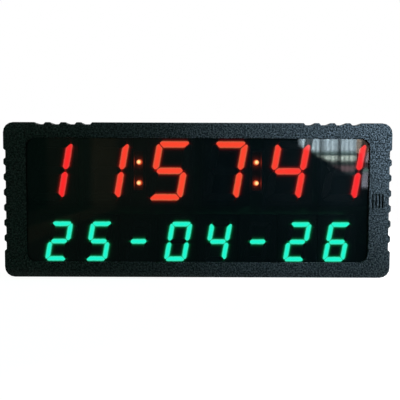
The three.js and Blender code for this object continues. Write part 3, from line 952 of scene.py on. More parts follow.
@dataclass
class FrontShell(Assembly):
    """The front moulding: bezel with the window's rebate, grooved side walls, slits and posts."""

    corner: float = 10 * MM
    wall: float = 4 * MM
    bezel: float = 2.5 * MM
    rebate: float = 3 * MM
    window_lap: float = 2.6 * MM
    window_corner: float = 9 * MM
    lip: float = 1.6 * MM
    edge: float = 0.9 * MM
    window_edge: float = 0.6 * MM
    groove_depth: float = 2 * MM
    groove_mouth: float = 10.3 * MM
    groove_floor: float = 6.8 * MM
    groove_radii: Pair = (1.1 * MM, 0.5 * MM)
    top_start: float = 36.1 * MM
    top_pitch: float = 15.2 * MM
    side_pitch: float = 15 * MM
    slit: Pair = (1.3 * MM, 14.3 * MM)
    slit_corner: float = 0.55 * MM
    slit_flare: float = 0.25 * MM
    slit_pitch: float = 3.2 * MM
    over: float = 1 * MM
    post_bore: float = 1.75 * MM
    post_radius: float = 3.5 * MM
    post_top: float = 12.2 * MM
    board_post: Pair = (178 * MM, 46 * MM)
    board_post_radius: float = 3 * MM
    board_gap: float = 0.3 * MM
    step: float = 2 * MM
    smooth: float = 40.0
    shell: Box = field(default_factory=lambda: Box.of("front_shell"))
    window: Box = field(default_factory=lambda: Box.of("window"))

    def grooves(self, start: Pair, along: Pair, inward: Pair, centres: Array) -> Array:
        """The corners of a row of grooves: start + (centre + shift) × along + depth × inward.

        Args:
            start: where the row starts.
            along: the direction that it runs in.
            inward: the direction into the case.
            centres: how far along each groove's middle lies.

        Returns:
            Four corners for each groove.
        """
        shift = np.array([-self.groove_mouth, -self.groove_floor, self.groove_floor, self.groove_mouth]) / 2
        depth = np.array([0.0, self.groove_depth, self.groove_depth, 0.0])
        reach = (centres[:, None] + shift)[..., None] * np.array(along)
        return (np.array(start) + reach + depth[:, None] * np.array(inward)).reshape(-1, 2)

    def outline(self) -> Array:
        """The outer outline in X and Z, with its grooves and rounded corners.

        Returns:
            Points × 2, anticlockwise.
        """
        side, top = self.shell.high.x, self.shell.high.z
        sides = top / 2 + self.side_pitch * np.arange(-3, 4)
        half = self.top_start + self.top_pitch * np.arange(4)
        tops = np.concatenate([half, 2 * side - half[::-1]])
        rows = [
            np.array([[-side, 0.0], [side, 0.0]]),
            self.grooves((side, 0.0), (0, 1), (-1, 0), sides),
            np.array([[side, top]]),
            self.grooves((side, top), (-1, 0), (0, -1), tops),
            np.array([[-side, top]]),
            self.grooves((-side, top), (0, -1), (1, 0), sides),
        ]
        groove = [*self.groove_radii, *self.groove_radii[::-1]]
        radii = [[self.corner] * 2, groove * 7, [self.corner], groove * 8, [self.corner], groove * 7]
        return filled(rounded(np.concatenate(rows), np.concatenate(radii)), self.step)

    def nearest(self, path: Array, x: float, z: Pair, radius: float) -> Array:
        """Each point's nearest neighbour on a rectangle with round corners.

        The point is clamped to the rectangle between the arcs' centres, and what is left is cut to the
        radius.

        Args:
            path: points × 2.
            x: half the rectangle's width.
            z: its two ends in Z.
            radius: of its corners.

        Returns:
            Points × 2.
        """
        low, high = np.array([-x, z[0]]) + radius, np.array([x, z[1]]) - radius
        core = np.clip(path, low, high)
        away = path - core
        return core + radius * away / np.linalg.norm(away, axis=1)[:, None]

    def opening(self, path: Array, grow: float) -> Array:
        """The outline of the window's opening.

        Args:
            path: points × 2, each of which is given its nearest neighbour on the opening.
            grow: how much larger the opening is made all round.

        Returns:
            Points × 2.
        """
        shift = grow - self.window_lap
        span = (self.window.low.z - shift, self.window.high.z + shift)
        return self.nearest(path, self.window.high.x + shift, span, self.window_corner + grow)

    def walls(self) -> Form:
        """The bezel and the side walls, without posts and slits.

        The profile of the wall is carried along the outline, from the window's edge outwards.

        Returns:
            One closed skin.
        """
        path = self.outline()
        front, back = self.shell.low.y, self.shell.high.y
        span = (self.wall, self.shell.high.z - self.wall)
        inner = self.nearest(path, self.shell.high.x - self.wall, span, self.corner - self.wall)
        rim, mouth = quarter(self.edge), quarter(self.window_edge)[::-1]
        rows = [(self.opening(path, step), front + depth) for step, depth in mouth]
        rows += [(inset(path, step), front + depth) for step, depth in rim]
        rows += [(inset(path, step), back - depth) for step, depth in rim[::-1]]
        rows += [(inner, back), (inner, front + self.bezel)]
        rows += [(self.opening(path, self.rebate), front + at) for at in (self.bezel, self.lip)]
        rows += [(self.opening(path, 0.0), front + self.lip)]
        return skin(raised(rows), ring=True)

    def slits(self) -> list[Form]:
        """Cutters for the slits over the buzzer, with a slightly flared mouth.

        Returns:
            One form for each slit.
        """
        x, z, _, _ = Box.of("buzzer").axis
        front, flare = self.shell.low.y, self.slit_flare
        steps = [(-flare, front - self.over), (-flare, front), (0.0, front + flare),
                 (0.0, front + self.bezel + self.over)]
        places = x + self.slit_pitch * (np.arange(4) - 1.5)
        return [stepped(oblong(place, z, self.slit, self.slit_corner), steps) for place in places]

    def posts(self) -> Form:
        """Posts for the case screws, with their bores, and for the board.

        Returns:
            All posts as one form.
        """
        front, radius = self.shell.low.y + self.bezel / 2, self.board_post_radius
        rest = Box.of("main_board").low.y - self.board_gap
        tube = lathe([(self.post_bore, self.post_top), (self.post_radius, self.post_top),
                      (self.post_radius, front), (self.post_bore, front)], 24, ring=True)
        pin = lathe([(0.0, rest), (radius, rest), (radius, front), (0.0, front)], 24)
        forms = [tube.moved(place.x, 0.0, place.z) for place in (Box.of(node).middle for node in SCREWS)]
        x, z = self.board_post
        forms += [pin.moved(side * x, 0.0, self.shell.middle.z + level * z)
                  for side in (-1, 1) for level in (-1, 1)]
        return joined(forms)

    def build(self) -> None:
        """Makes the shell and dresses the window in it."""
        # the second colour is the painted glint on the grain's tips
        plastic = GrainedPlastic("case_grain", (0.007, 0.0105, 0.01), (0.088, 0.102, 0.098), grain=1.6 * MM,
                                 depth=2.4 * MM, roughness=0.4, specular=0.08).paint()
        shell = solid("bezel_shell", self.walls(), plastic, self.smooth)
        carve(shell, Carving.CUT, self.slits(), self.smooth)
        self.seat(shell, "case", "case_black", "front_shell")
        self.seat(solid("shell_posts", self.posts(), plastic), "case", "case_black")
        self.dress("window", SmokedAcrylic().paint())


class Row(Enum):
    """The two rows of digits, with the digits that each shows."""

    TIME = "115741"
    DATE = "25-04-26"


BARS_OF = {
    "0": "ABCDEF", "1": "BC", "2": "ABDEG", "4": "BCFG",
    "5": "ACDFG", "6": "ACDEFG", "7": "ABC", "-": "G",
}


@dataclass
class DigitRow(Assembly):
    """A row of seven-bar digit blocks; soft rounds a bar's ends, and hole_inset is the gap round it."""

    row: Row
    height: float
    width: float
    stroke: float
    soft: float
    hole_inset: float
    resin: LitResin
    glow: Glow
    slot: str
    slant: float = math.tan(math.radians(10))
    corner_share: float = 1 / 3
    middle_share: float = 1 / 2
    proud: float = 0.12 * MM
    seat_depth: float = 0.15 * MM
    end_core: float = 0.55
    step: float = 1.2 * MM
    shares: tuple[float, ...] = (0.0, 0.0, 0.13, 0.25, 0.4, 0.6, 0.85, 0.97)
    smooth: float = 60.0

    def outlines(self) -> dict[str, Array]:
        """The seven bars, upright, round the digit's centre.

        Returns:
            The outline of each by its letter.
        """
        side, top, stroke = self.width / 2, self.height / 2, self.stroke
        corner, middle, half = stroke * self.corner_share, stroke * self.middle_share, stroke / 2
        level = np.array([
            [corner - side, top - corner], [stroke - side, top - stroke], [side - stroke, top - stroke],
            [side - corner, top - corner], [side - 2 * corner, top], [2 * corner - side, top]])
        upright = np.array([
            [side - middle, 0.0], [side, middle], [side, top - 2 * corner],
            [side - corner, top - corner], [side - stroke, top - stroke], [side - stroke, stroke - middle]])
        centre = np.array([
            [middle - side, 0.0], [middle - side + half, -half], [side - middle - half, -half],
            [side - middle, 0.0], [side - middle - half, half], [middle - side + half, half]])
        return {
            "A": level, "D": (level * [1, -1])[::-1], "G": centre,
            "B": upright, "C": (upright * [1, -1])[::-1],
            "F": (upright * [-1, 1])[::-1], "E": upright * [-1, -1],
        }

    def cap(self, bar: Array, front: float) -> Form:
        """The shining front of one bar.

        Each row is the outline drawn in towards the bar's own centre line by a share s, and bulges by
        s × (2 - s) of its pride, so that the bar is a low pillow. The core value is s, plus
        (1 - s) × end_core × (1 - the point's distance across the bar ÷ half its width), so that pointed
        ends stay lit.

        Args:
            bar: the outline of its hole.
            front: the block's front face in Y.

        Returns:
            The bar's front, with its core values.
        """
        path = filled(rounded(inset(bar, self.hole_inset), self.soft), self.step)
        low, high = path.min(0), path.max(0)
        reach = np.minimum(*(high - low)) / 2
        line = np.clip(path, low + reach, high - reach)
        shares = np.array(self.shares)
        at = front - self.proud * shares * (2 - shares)
        at[0] = front + self.seat_depth
        flat = path + (line - path) * shares[:, None, None]
        flat[..., 0] += flat[..., 1] * self.slant
        rows = np.stack(np.broadcast_arrays(flat[..., 0], at[:, None], flat[..., 1]), -1)
        across = np.abs(path - (low + high) / 2)[:, int(np.argmin(high - low))] / reach
        core = shares[:, None] + (1 - shares[:, None]) * self.end_core * (1 - across)
        return skin(rows, core=core)

    def lines(self, bars: list[Array]) -> tuple[tuple[float, float, float, float], ...]:
        """The middle lines of bars.

        Args:
            bars: their outlines.

        Returns:
            For each its centre, and half its length in X and Z.
        """
        spans = [(bar.min(0), bar.max(0)) for bar in bars]
        return tuple((*(low + high) / 2, *np.maximum((high - low - self.stroke) / 2, 0.0))
                     for low, high in spans)

    def build(self) -> None:
        """Dresses the blocks of the row and makes their lit bars."""
        name = self.row.name.lower()
        resin = self.resin.paint()
        epoxy = CastEpoxy(f"{name}_epoxy").paint()
        outlines = self.outlines()
        for number, digit in enumerate(self.row.value, 1):
            node = f"{name}_digit_{number}"
            x, z, front, _ = Box.of(f"{node}_frame").axis
            bars = [outlines[letter] for letter in BARS_OF[digit]]
            face = BlockFace(f"{node}_face", self.glow, self.lines(bars), self.stroke / 2, (x, z),
                             self.slant)
            self.dress(f"{node}_frame", face.paint())
            self.dress(f"{node}_light", epoxy)
            form = joined(self.cap(bar, front) for bar in bars).moved(x, 0.0, z)
            self.seat(solid(f"{node}_lit_bars", form, resin, self.smooth), "case", self.slot)


@dataclass
class Colons(Assembly):
    """Two wells, each with two round lamps."""

    radius: float = 2.5 * MM
    flange: Pair = (2.9 * MM, 1 * MM)
    barrel: float = 5 * MM
    glow: Glow = Glow((1.0, 0.065, 0.015), edge=6.0, halo=0.01, edge_reach=1.05 * MM, halo_reach=5 * MM)
    strength: float = 3.2
    stops: Stops = ((0.0, (0.35, 0.03, 0.006)), (0.4, (0.6, 0.12, 0.04)), (0.8, (0.95, 0.42, 0.16)),
                    (0.97, (1.0, 0.8, 0.3)), (1.0, (1.0, 0.82, 0.3)))

    def lamp(self) -> Form:
        """A lamp along -Y with its foot at the origin: flange, barrel and a dome, y = barrel + r sin t.

        Returns:
            The lamp; its core value is sin t on the dome.
        """
        turn = np.linspace(0, np.pi / 2, 12)
        wide, thick = self.flange
        foot = [(0.0, 0.0), (wide, 0.0), (wide, thick), (self.radius, thick)]
        profile = np.concatenate([foot, arc(self.radius, turn) + [0.0, self.barrel]]) * [1, -1]
        return lathe(profile, 32, core=np.concatenate([np.zeros(4), np.sin(turn)]))

    def build(self) -> None:
        """Makes the lamps and dresses the wells."""
        resin = LitResin("lamp_resin", self.stops, self.strength).paint()
        for number in (1, 2):
            tips = []
            for level in ("upper", "lower"):
                node = f"colon_{number}_{level}_led"
                x, z, low, high = Box.of(node).axis
                tips.append(Vector((x, low + self.radius, z)))
                lamp = solid(f"colon_{number}_{level}_lamp", self.lamp().moved(x, high, z), resin)
                self.seat(lamp, "case", "amber_light", node)
            block = f"colon_{number}_block"
            face = Box.of(block).low.y
            well = ColonWell(f"colon_{number}_well", self.glow, tuple(tips), self.radius, face)
            self.dress(block, well.paint())


@dataclass
class RearCover(Assembly):
    """The cover with its pockets, keyholes, vents and the hatch's well."""

    thickness: float = 2.5 * MM
    corner: float = 5.7 * MM
    edge: float = 0.5 * MM
    gap: float = 0.3 * MM
    flare: float = 0.35 * MM
    over: float = 1 * MM
    through: float = 13 * MM
    stock_corner: float = 1 * MM
    well_corner: float = 0.6 * MM
    vent: Pair = (2 * MM, 26 * MM)
    vent_corner: float = 0.95 * MM
    vent_pitch: float = 5 * MM
    vent_at: Pair = (8 * MM, 76 * MM)
    keyhole_entry: float = 4.8 * MM
    keyhole_slot: float = 2.5 * MM
    keyhole_length: float = 11 * MM
    keyhole_at: Pair = (120 * MM, 112 * MM)
    panel: Pair = (55 * MM, 13 * MM)
    panel_depth: float = 1.5 * MM
    panel_corner: float = 1.5 * MM
    panel_wall: float = 2 * MM
    button_bore: float = 3.8 * MM
    pocket_width: float = 18.6 * MM
    pocket_start: float = 5.6 * MM
    pocket_wall: float = 2.5 * MM
    pocket_floor: float = 2.2 * MM
    pocket_head: float = 2.8 * MM
    pin_slot: Pair = (3.4 * MM, 3.4 * MM)
    pin_slot_corner: float = 1.6 * MM
    pin_slot_edge: float = 0.05 * MM
    pin_length: float = 22.4 * MM
    pin_height: float = 8.5 * MM
    hatch_frame: Pair = (33.8 * MM, 35.8 * MM)
    hatch_ledge: float = 0.7 * MM
    hatch_well: Pair = (28.6 * MM, 30.6 * MM)
    hatch_floor: float = 14.9 * MM
    cell_well: Pair = (22 * MM, 22 * MM)
    notch_drop: float = 15.3 * MM
    notch_radius: float = 4 * MM
    notch_depth: float = 1.2 * MM
    jack_bore: float = 4.6 * MM
    head_radius: float = 3 * MM
    head_depth: float = 2.9 * MM
    screw_bore: float = 1.75 * MM
    cover: Box = field(default_factory=lambda: Box.of("rear_cover"))

    def cutter(self, outline: Array, depth: float | None = None) -> Form:
        """A cutter from outside the back face inwards, with a flared mouth.

        Each row is the outline made larger by the flare at the face, and true to size from the flare's
        depth on.

        Args:
            outline: points × 2, anticlockwise.
            depth: how far it cuts, or else through all that the cover carries.

        Returns:
            The cutter.
        """
        face = self.cover.high.y
        end = face - (depth or self.through)
        return stepped(outline, [(-self.flare, face + self.over), (-self.flare, face),
                                 (0.0, face - self.flare), (0.0, end)])

    def hole(self, x: float, z: float, radius: float, depth: float | None = None) -> Form:
        """A round cutter."""
        return self.cutter(circle(x, z, radius, 40), depth)

    def keyhole_outline(self, side: int) -> Array:
        """A round entry with a narrower slot above it that ends in a half circle.

        Args:
            side: -1 for the left one, 1 for the right one.

        Returns:
            Points × 2, anticlockwise.
        """
        half = math.asin(self.keyhole_slot / self.keyhole_entry)
        start = math.pi / 2 + half
        low = arc(self.keyhole_entry, np.linspace(start, start + 2 * (math.pi - half), 28))
        high = arc(self.keyhole_slot, np.linspace(0, math.pi, 14)) + [0.0, self.keyhole_length]
        return np.concatenate([low, high]) + [side * self.keyhole_at[0], self.keyhole_at[1]]

    def button_row(self) -> Vector:
        """The middle of the row of buttons."""
        return (Box.of("set_button").middle + Box.of("alarm_button").middle) / 2

    def stock(self) -> list[Form]:
        """What stands on the cover's inner face: foot pockets, button panel and well.

        Returns:
            One plate for each.
        """
        face = self.cover.high.y
        inner = face - self.thickness / 2
        forms = []
        for side in SIDES:
            foot = Box.of(f"foot_{side}")
            x = about(foot.middle.x, self.pocket_width + 2 * self.pocket_wall)
            block = rectangle(x, (self.cover.low.z, foot.high.z + self.pocket_head), self.stock_corner)
            forms.append(plate(block, (foot.low.y - self.gap - self.pocket_floor, inner)))
        row, cell = self.button_row(), Box.of("coin_cell").middle
        size = (self.panel[0] + 2 * self.panel_wall, self.panel[1] + 2 * self.panel_wall)
        ledge = Box.of("battery_door").low.y - self.hatch_ledge
        back = face - self.panel_depth - self.panel_wall
        forms.append(plate(oblong(row.x, row.z, size, self.stock_corner), (back, inner)))
        forms.append(plate(oblong(cell.x, cell.z, self.hatch_frame, self.stock_corner), (ledge, inner)))
        return forms

    def wide(self) -> list[Form]:
        """The wide openings: foot pockets, button panel, hatch, keyholes, vents, jack and screw heads.

        Returns:
            Their cutters.
        """
        face = self.cover.high.y
        forms = []
        for side in SIDES:
            foot = Box.of(f"foot_{side}")
            pocket = rectangle(about(foot.middle.x, self.pocket_width),
                               (self.pocket_start, foot.high.z + 2 * self.gap), self.well_corner)
            forms.append(self.cutter(pocket, face - foot.low.y + self.gap))
        row, cell, jack = self.button_row(), Box.of("coin_cell").middle, Box.of("dc_jack").middle
        forms.append(self.cutter(oblong(row.x, row.z, self.panel, self.panel_corner), self.panel_depth))
        well = oblong(cell.x, cell.z, self.hatch_well, self.well_corner)
        forms.append(self.cutter(well, face - self.hatch_floor))
        forms += [self.cutter(self.keyhole_outline(side)) for side in (-1, 1)]
        x, z = self.vent_at
        forms += [self.cutter(oblong(x + self.vent_pitch * place, z, self.vent, self.vent_corner))
                  for place in range(-3, 4)]
        forms.append(self.hole(jack.x, jack.z, self.jack_bore))
        screws = [Box.of(node).middle for node in SCREWS]
        return forms + [self.hole(screw.x, screw.z, self.head_radius, self.head_depth) for screw in screws]

    def deep(self) -> list[Form]:
        """The openings in wide ones: slots for the foot pins, screw bores, the cell's well, button bores.

        Returns:
            Their cutters.
        """
        cell = Box.of("coin_cell").middle
        forms = []
        for foot in (Box.of(f"foot_{side}").middle for side in SIDES):
            slot = oblong(foot.y, self.pin_height, self.pin_slot, self.pin_slot_corner)
            forms.append(plate(slot, about(foot.x, self.pin_length), self.pin_slot_edge, Along.X))
        screws = [Box.of(node).middle for node in SCREWS]
        forms += [self.hole(screw.x, screw.z, self.screw_bore) for screw in screws]
        forms.append(self.cutter(oblong(cell.x, cell.z, self.cell_well, self.well_corner)))
        buttons = [Box.of(f"{name}_button").middle for name in BUTTONS]
        return forms + [self.hole(button.x, button.z, self.button_bore) for button in buttons]

    def build(self) -> None:
        """Makes the cover."""
        # the second colour is the painted glint on the grain's tips
        plastic = GrainedPlastic("cover_grain", (0.018, 0.0205, 0.021), (0.04, 0.044, 0.045), grain=1.1 * MM,
                                 depth=1 * MM, roughness=0.45).paint()
        low, high = self.cover.low, self.cover.high
        outline = rectangle((low.x, high.x), (low.z, high.z), self.corner)
        piece = solid("back_cover", plate(outline, (high.y - self.thickness, high.y), self.edge), plastic)
        cell = Box.of("coin_cell").middle
        notch = self.hole(cell.x, cell.z - self.notch_drop, self.notch_radius, self.notch_depth)
        carve(piece, Carving.JOIN, self.stock())
        carve(piece, Carving.CUT, self.wide())
        carve(piece, Carving.CUT, self.deep())
        carve(piece, Carving.CUT, [notch])
        self.seat(piece, "case", "cover_black", "rear_cover")


@dataclass
class Grip:
    """A row of level grooves for the thumb, cut into a flat face that looks along +Y."""

    count: int
    size: Pair
    radius: float
    pitch: float
    depth: float
    over: float
    edge: float

    def cutters(self, x: float, start: float, face: float) -> list[Form]:
        """The cutters.

        Args:
            x: their middle in X.
            start: the middle of the first in Z.
            face: the face's place in Y.

        Returns:
            One plate for each groove.
        """
        places = [start + self.pitch * number for number in range(self.count)]
        return [plate(oblong(x, z, self.size, self.radius), (face - self.depth, face + self.over), self.edge)
                for z in places]


@dataclass
class Fittings(Assembly):
    """What the cover carries: feet, hatch, screws, buttons and the power inlet.

    The feet and the hatch are given by width and thickness, their pins by radius and length.
    """

    foot_size: Pair = (18 * MM, 4 * MM)
    foot_radii: tuple[float, ...] = (1.9 * MM, 1.9 * MM, 0.6 * MM, 0.9 * MM)
    foot_pin: Pair = (1.4 * MM, 21.2 * MM)
    foot_edge: float = 0.4 * MM
    foot_pin_edge: float = 0.25 * MM
    foot_grip: Grip = field(default_factory=lambda: Grip(
        3, (9 * MM, 1.1 * MM), radius=0.4 * MM, pitch=-2 * MM, depth=0.8 * MM, over=2 * MM, edge=0.2 * MM))
    hatch_size: Pair = (28 * MM, 2 * MM)
    hatch_radii: tuple[float, ...] = (0.4 * MM, 0.5 * MM, 0.95 * MM, 0.95 * MM)
    hatch_pin: Pair = (0.7 * MM, 30.8 * MM)
    hatch_edge: float = 0.3 * MM
    hatch_pin_edge: float = 0.2 * MM
    hatch_grip: Grip = field(default_factory=lambda: Grip(
        4, (12 * MM, 0.7 * MM), radius=0.3 * MM, pitch=1.8 * MM, depth=0.4 * MM, over=1 * MM, edge=0.1 * MM))
    grip_start: float = 4 * MM
    tongue_width: float = 8 * MM
    tongue: Pair = (73.5 * MM, 74.7 * MM)
    tongue_corner: float = 0.3 * MM
    tongue_edge: float = 0.2 * MM
    head_radius: float = 2.7 * MM
    head_height: float = 1.9 * MM
    flat_share: float = 0.35
    dome_share: float = 0.6
    thread_start: float = 1 * MM
    thread_core: float = 1.1 * MM
    thread_crest: float = 1.45 * MM
    ridges: int = 25
    slot: Pair = (4 * MM, 0.7 * MM)
    slot_depth: float = 0.8 * MM
    slot_over: float = 1 * MM
    slot_corner: float = 0.1 * MM
    slot_edge: float = 0.05 * MM
    cap_radius: float = 3.5 * MM
    cap_edge: float = 0.6 * MM
    flange_radius: float = 4.5 * MM
    flange_span: Pair = (12.5 * MM, 13.7 * MM)
    stem_radius: float = 1.7 * MM
    stem_edge: float = 0.1 * MM
    dish_radius: float = 2.7 * MM
    dish_depth: float = 0.25 * MM
    dish_rings: tuple[float, ...] = (2.6 * MM, 2 * MM, 1.3 * MM, 0.6 * MM, 0.0)
    jack: Pair = (9 * MM, 9 * MM)
    jack_corner: float = 0.4 * MM
    jack_back: float = 14.7 * MM
    bore_radius: float = 3.15 * MM
    bore_floor: float = 7 * MM
    bore_mouth: float = 3.6 * MM
    bore_over: float = 0.2 * MM
    collar_radius: float = 4.3 * MM
    collar_start: float = 2 * MM
    collar_edge: float = 0.3 * MM
    pin_radii: Pair = (1 * MM, 0.8 * MM)
    pin_steps: Pair = (0.5 * MM, 0.12 * MM)
    pin_root: float = 0.2 * MM
    pin_drop: float = 1 * MM

    def bar(self, name: str, corners: tuple[Pair, Pair], radii: tuple[float, ...], steps: int, x: Pair,
            edge: float, plastic: Material) -> Piece:
        """A bar along X over a rectangle in Y and Z.

        Args:
            name: the bar's name.
            corners: its two ends in Y, and in Z.
            radii: of its corners, anticlockwise from the lower front.
            steps: points in each rounded corner.
            x: its two ends in X.
            edge: radius of the rims.
            plastic: its finish.

        Returns:
            The bar.
        """
        (front, back), (low, high) = corners
        outline = np.array([[front, low], [back, low], [back, high], [front, high]])
        return solid(name, plate(rounded(outline, np.array(radii), steps), x, edge, Along.X), plastic)

    def foot(self, side: str, plastic: Material) -> None:
        """A foot: its side outline, with a round heel, given width along X, a pin and grip grooves.

        Args:
            side: left or right.
            plastic: its finish.
        """
        box = Box.of(f"foot_{side}")
        y, x, low, high = box.middle.y, box.middle.x, box.low.z, box.high.z
        width, thick = self.foot_size
        radius, length = self.foot_pin
        piece = self.bar(f"foot_{side}_bar", (about(y, thick), (low, high)), self.foot_radii, 8,
                         about(x, width), self.foot_edge, plastic)
        carve(piece, Carving.CUT, self.foot_grip.cutters(x, high - self.grip_start, y + thick / 2))
        pin = circle(y, low + thick / 2, radius, 24)
        carve(piece, Carving.JOIN, [plate(pin, about(x, length), self.foot_pin_edge, Along.X)])
        self.seat(piece, f"foot_{side}", "cover_black", f"foot_{side}")

    def hatch(self, plastic: Material) -> None:
        """The hatch: a plate with a round upper edge on its pin, a tongue and thumb grooves.

        Args:
            plastic: its finish.
        """
        box = Box.of("battery_door")
        width, thick = self.hatch_size
        radius, length = self.hatch_pin
        y, x, z = box.high.y - thick / 2, box.middle.x, box.high.z - thick / 2
        piece = self.bar("cell_hatch", (about(y, thick), (box.low.z, z + thick / 2)), self.hatch_radii, 6,
                         about(x, width), self.hatch_edge, plastic)
        tongue = rectangle(about(x, self.tongue_width), self.tongue, self.tongue_corner)
        pin = plate(circle(y, z, radius, 20), about(x, length), self.hatch_pin_edge, Along.X)
        carve(piece, Carving.JOIN, [pin, plate(tongue, (box.low.y, y), self.tongue_edge)])
        carve(piece, Carving.CUT, self.hatch_grip.cutters(x, box.low.z + self.grip_start, y + thick / 2))
        self.seat(piece, "battery_door", "cover_black", "battery_door")

    def screws(self) -> None:
        """Case screws: a domed head with a cross slot, and a threaded shank as a row of ridges.

        The dome's radius is r × (s + (1 - s) × cos t), where s is the flat share, and it lies dome share ×
        height × (1 - sin t) under the top.
        """
        steel = TurnedMetal("zinc_plate", (0.36, 0.36, 0.35), 0.35).paint()
        radius, height = self.head_radius, self.head_height
        turn = np.linspace(0, np.pi / 2, 7)
        around = radius * (self.flat_share + (1 - self.flat_share) * np.cos(turn))
        drop = height * self.dome_share * (1 - np.sin(turn))
        ridges = np.where(np.arange(self.ridges) % 2, self.thread_crest, self.thread_core)
        for number, node in enumerate(SCREWS, 1):
            x, z, low, high = Box.of(node).axis
            dome = np.stack([around, high - drop], -1)
            places = np.linspace(low + self.thread_start, high - height, self.ridges)
            thread = np.stack([ridges, places], -1)
            profile = np.concatenate([[(0.0, low)], thread, [(radius, high - height)], dome, [(0.0, high)]])
            screw = self.turned(f"screw_{number}", node, profile, 32, steel)
            span = (high - self.slot_depth, high + self.slot_over)
            for size in (self.slot, self.slot[::-1]):
                cutter = plate(oblong(x, z, size, self.slot_corner), span, self.slot_edge)
                carve(screw, Carving.CUT, [cutter])
            self.seat(screw, "case", "steel", node)

    def buttons(self) -> None:
        """Push buttons: a dished cap with a round rim, its flange and its stem.

        The dish lies depth × (1 - (r ÷ its radius)²) under the top.
        """
        plastic = SatinPlastic("button_plastic", (0.05, 0.055, 0.06), 0.35).paint()
        radius, flange, stem = self.cap_radius, self.flange_radius, self.stem_radius
        front, back = self.flange_span
        for name in (f"{button}_button" for button in BUTTONS):
            _, _, low, top = Box.of(name).axis
            rim = [(radius - step, top - down) for step, down in quarter(self.cap_edge, 5)[::-1]]
            dish = [(ring, top - self.dish_depth * (1 - (ring / self.dish_radius) ** 2))
                    for ring in self.dish_rings]
            foot = [(0.0, low), (stem - self.stem_edge, low), (stem, low + self.stem_edge), (stem, front),
                    (flange, front), (flange, back), (radius, back)]
            cap = self.turned(name.replace("button", "cap"), name, foot + rim + dish, 40, plastic)
            self.seat(cap, name, "button_grey", name)

    def inlet(self) -> None:
        """The power inlet: a square body, a round collar with a bore, and a pin in it."""
        x, z, low, high = Box.of("dc_jack").axis
        radius, floor = self.bore_radius, self.bore_floor
        plastic = SatinPlastic("inlet_plastic", (0.012, 0.012, 0.013)).paint()
        steel = TurnedMetal("nickel_pin", (0.7, 0.68, 0.62), 0.18).paint()
        block = plate(oblong(x, z, self.jack, self.jack_corner), (low, self.jack_back))
        body = solid("inlet_body", block, plastic)
        start, wide = low + self.collar_start, self.collar_radius
        edge, over = self.collar_edge, self.bore_over
        collar = [(0.0, start), (wide, start), (wide, high - edge), (wide - edge, high), (0.0, high)]
        bore = [(0.0, floor), (radius, floor), (radius, high - edge), (self.bore_mouth, high + over),
                (0.0, high + over)]
        for carving, profile in ((Carving.JOIN, collar), (Carving.CUT, bore)):
            carve(body, carving, [lathe(profile, 40).moved(x, 0.0, z)])
        self.seat(body, "case", "part_black", "dc_jack")
        tip, foot = high - self.pin_drop, floor - self.pin_root
        (thick, thin), (first, second) = self.pin_radii, self.pin_steps
        pin = [(0.0, foot), (thick, foot), (thick, tip - first), (thin, tip - second), (0.0, tip)]
        self.seat(self.turned("inlet_pin", "dc_jack", pin, 24, steel), "case", "steel")

    def build(self) -> None:
        """Makes all fittings."""
        # the second colour is the painted glint on the grain's tips
        plastic = GrainedPlastic("fitting_grain", (0.02, 0.022, 0.023), (0.04, 0.044, 0.046), grain=0.8 * MM,
                                 depth=0.4 * MM, roughness=0.4).paint()
        for side in SIDES:
            self.foot(side, plastic)
        self.hatch(plastic)
        self.screws()
        self.buttons()
        self.inlet()


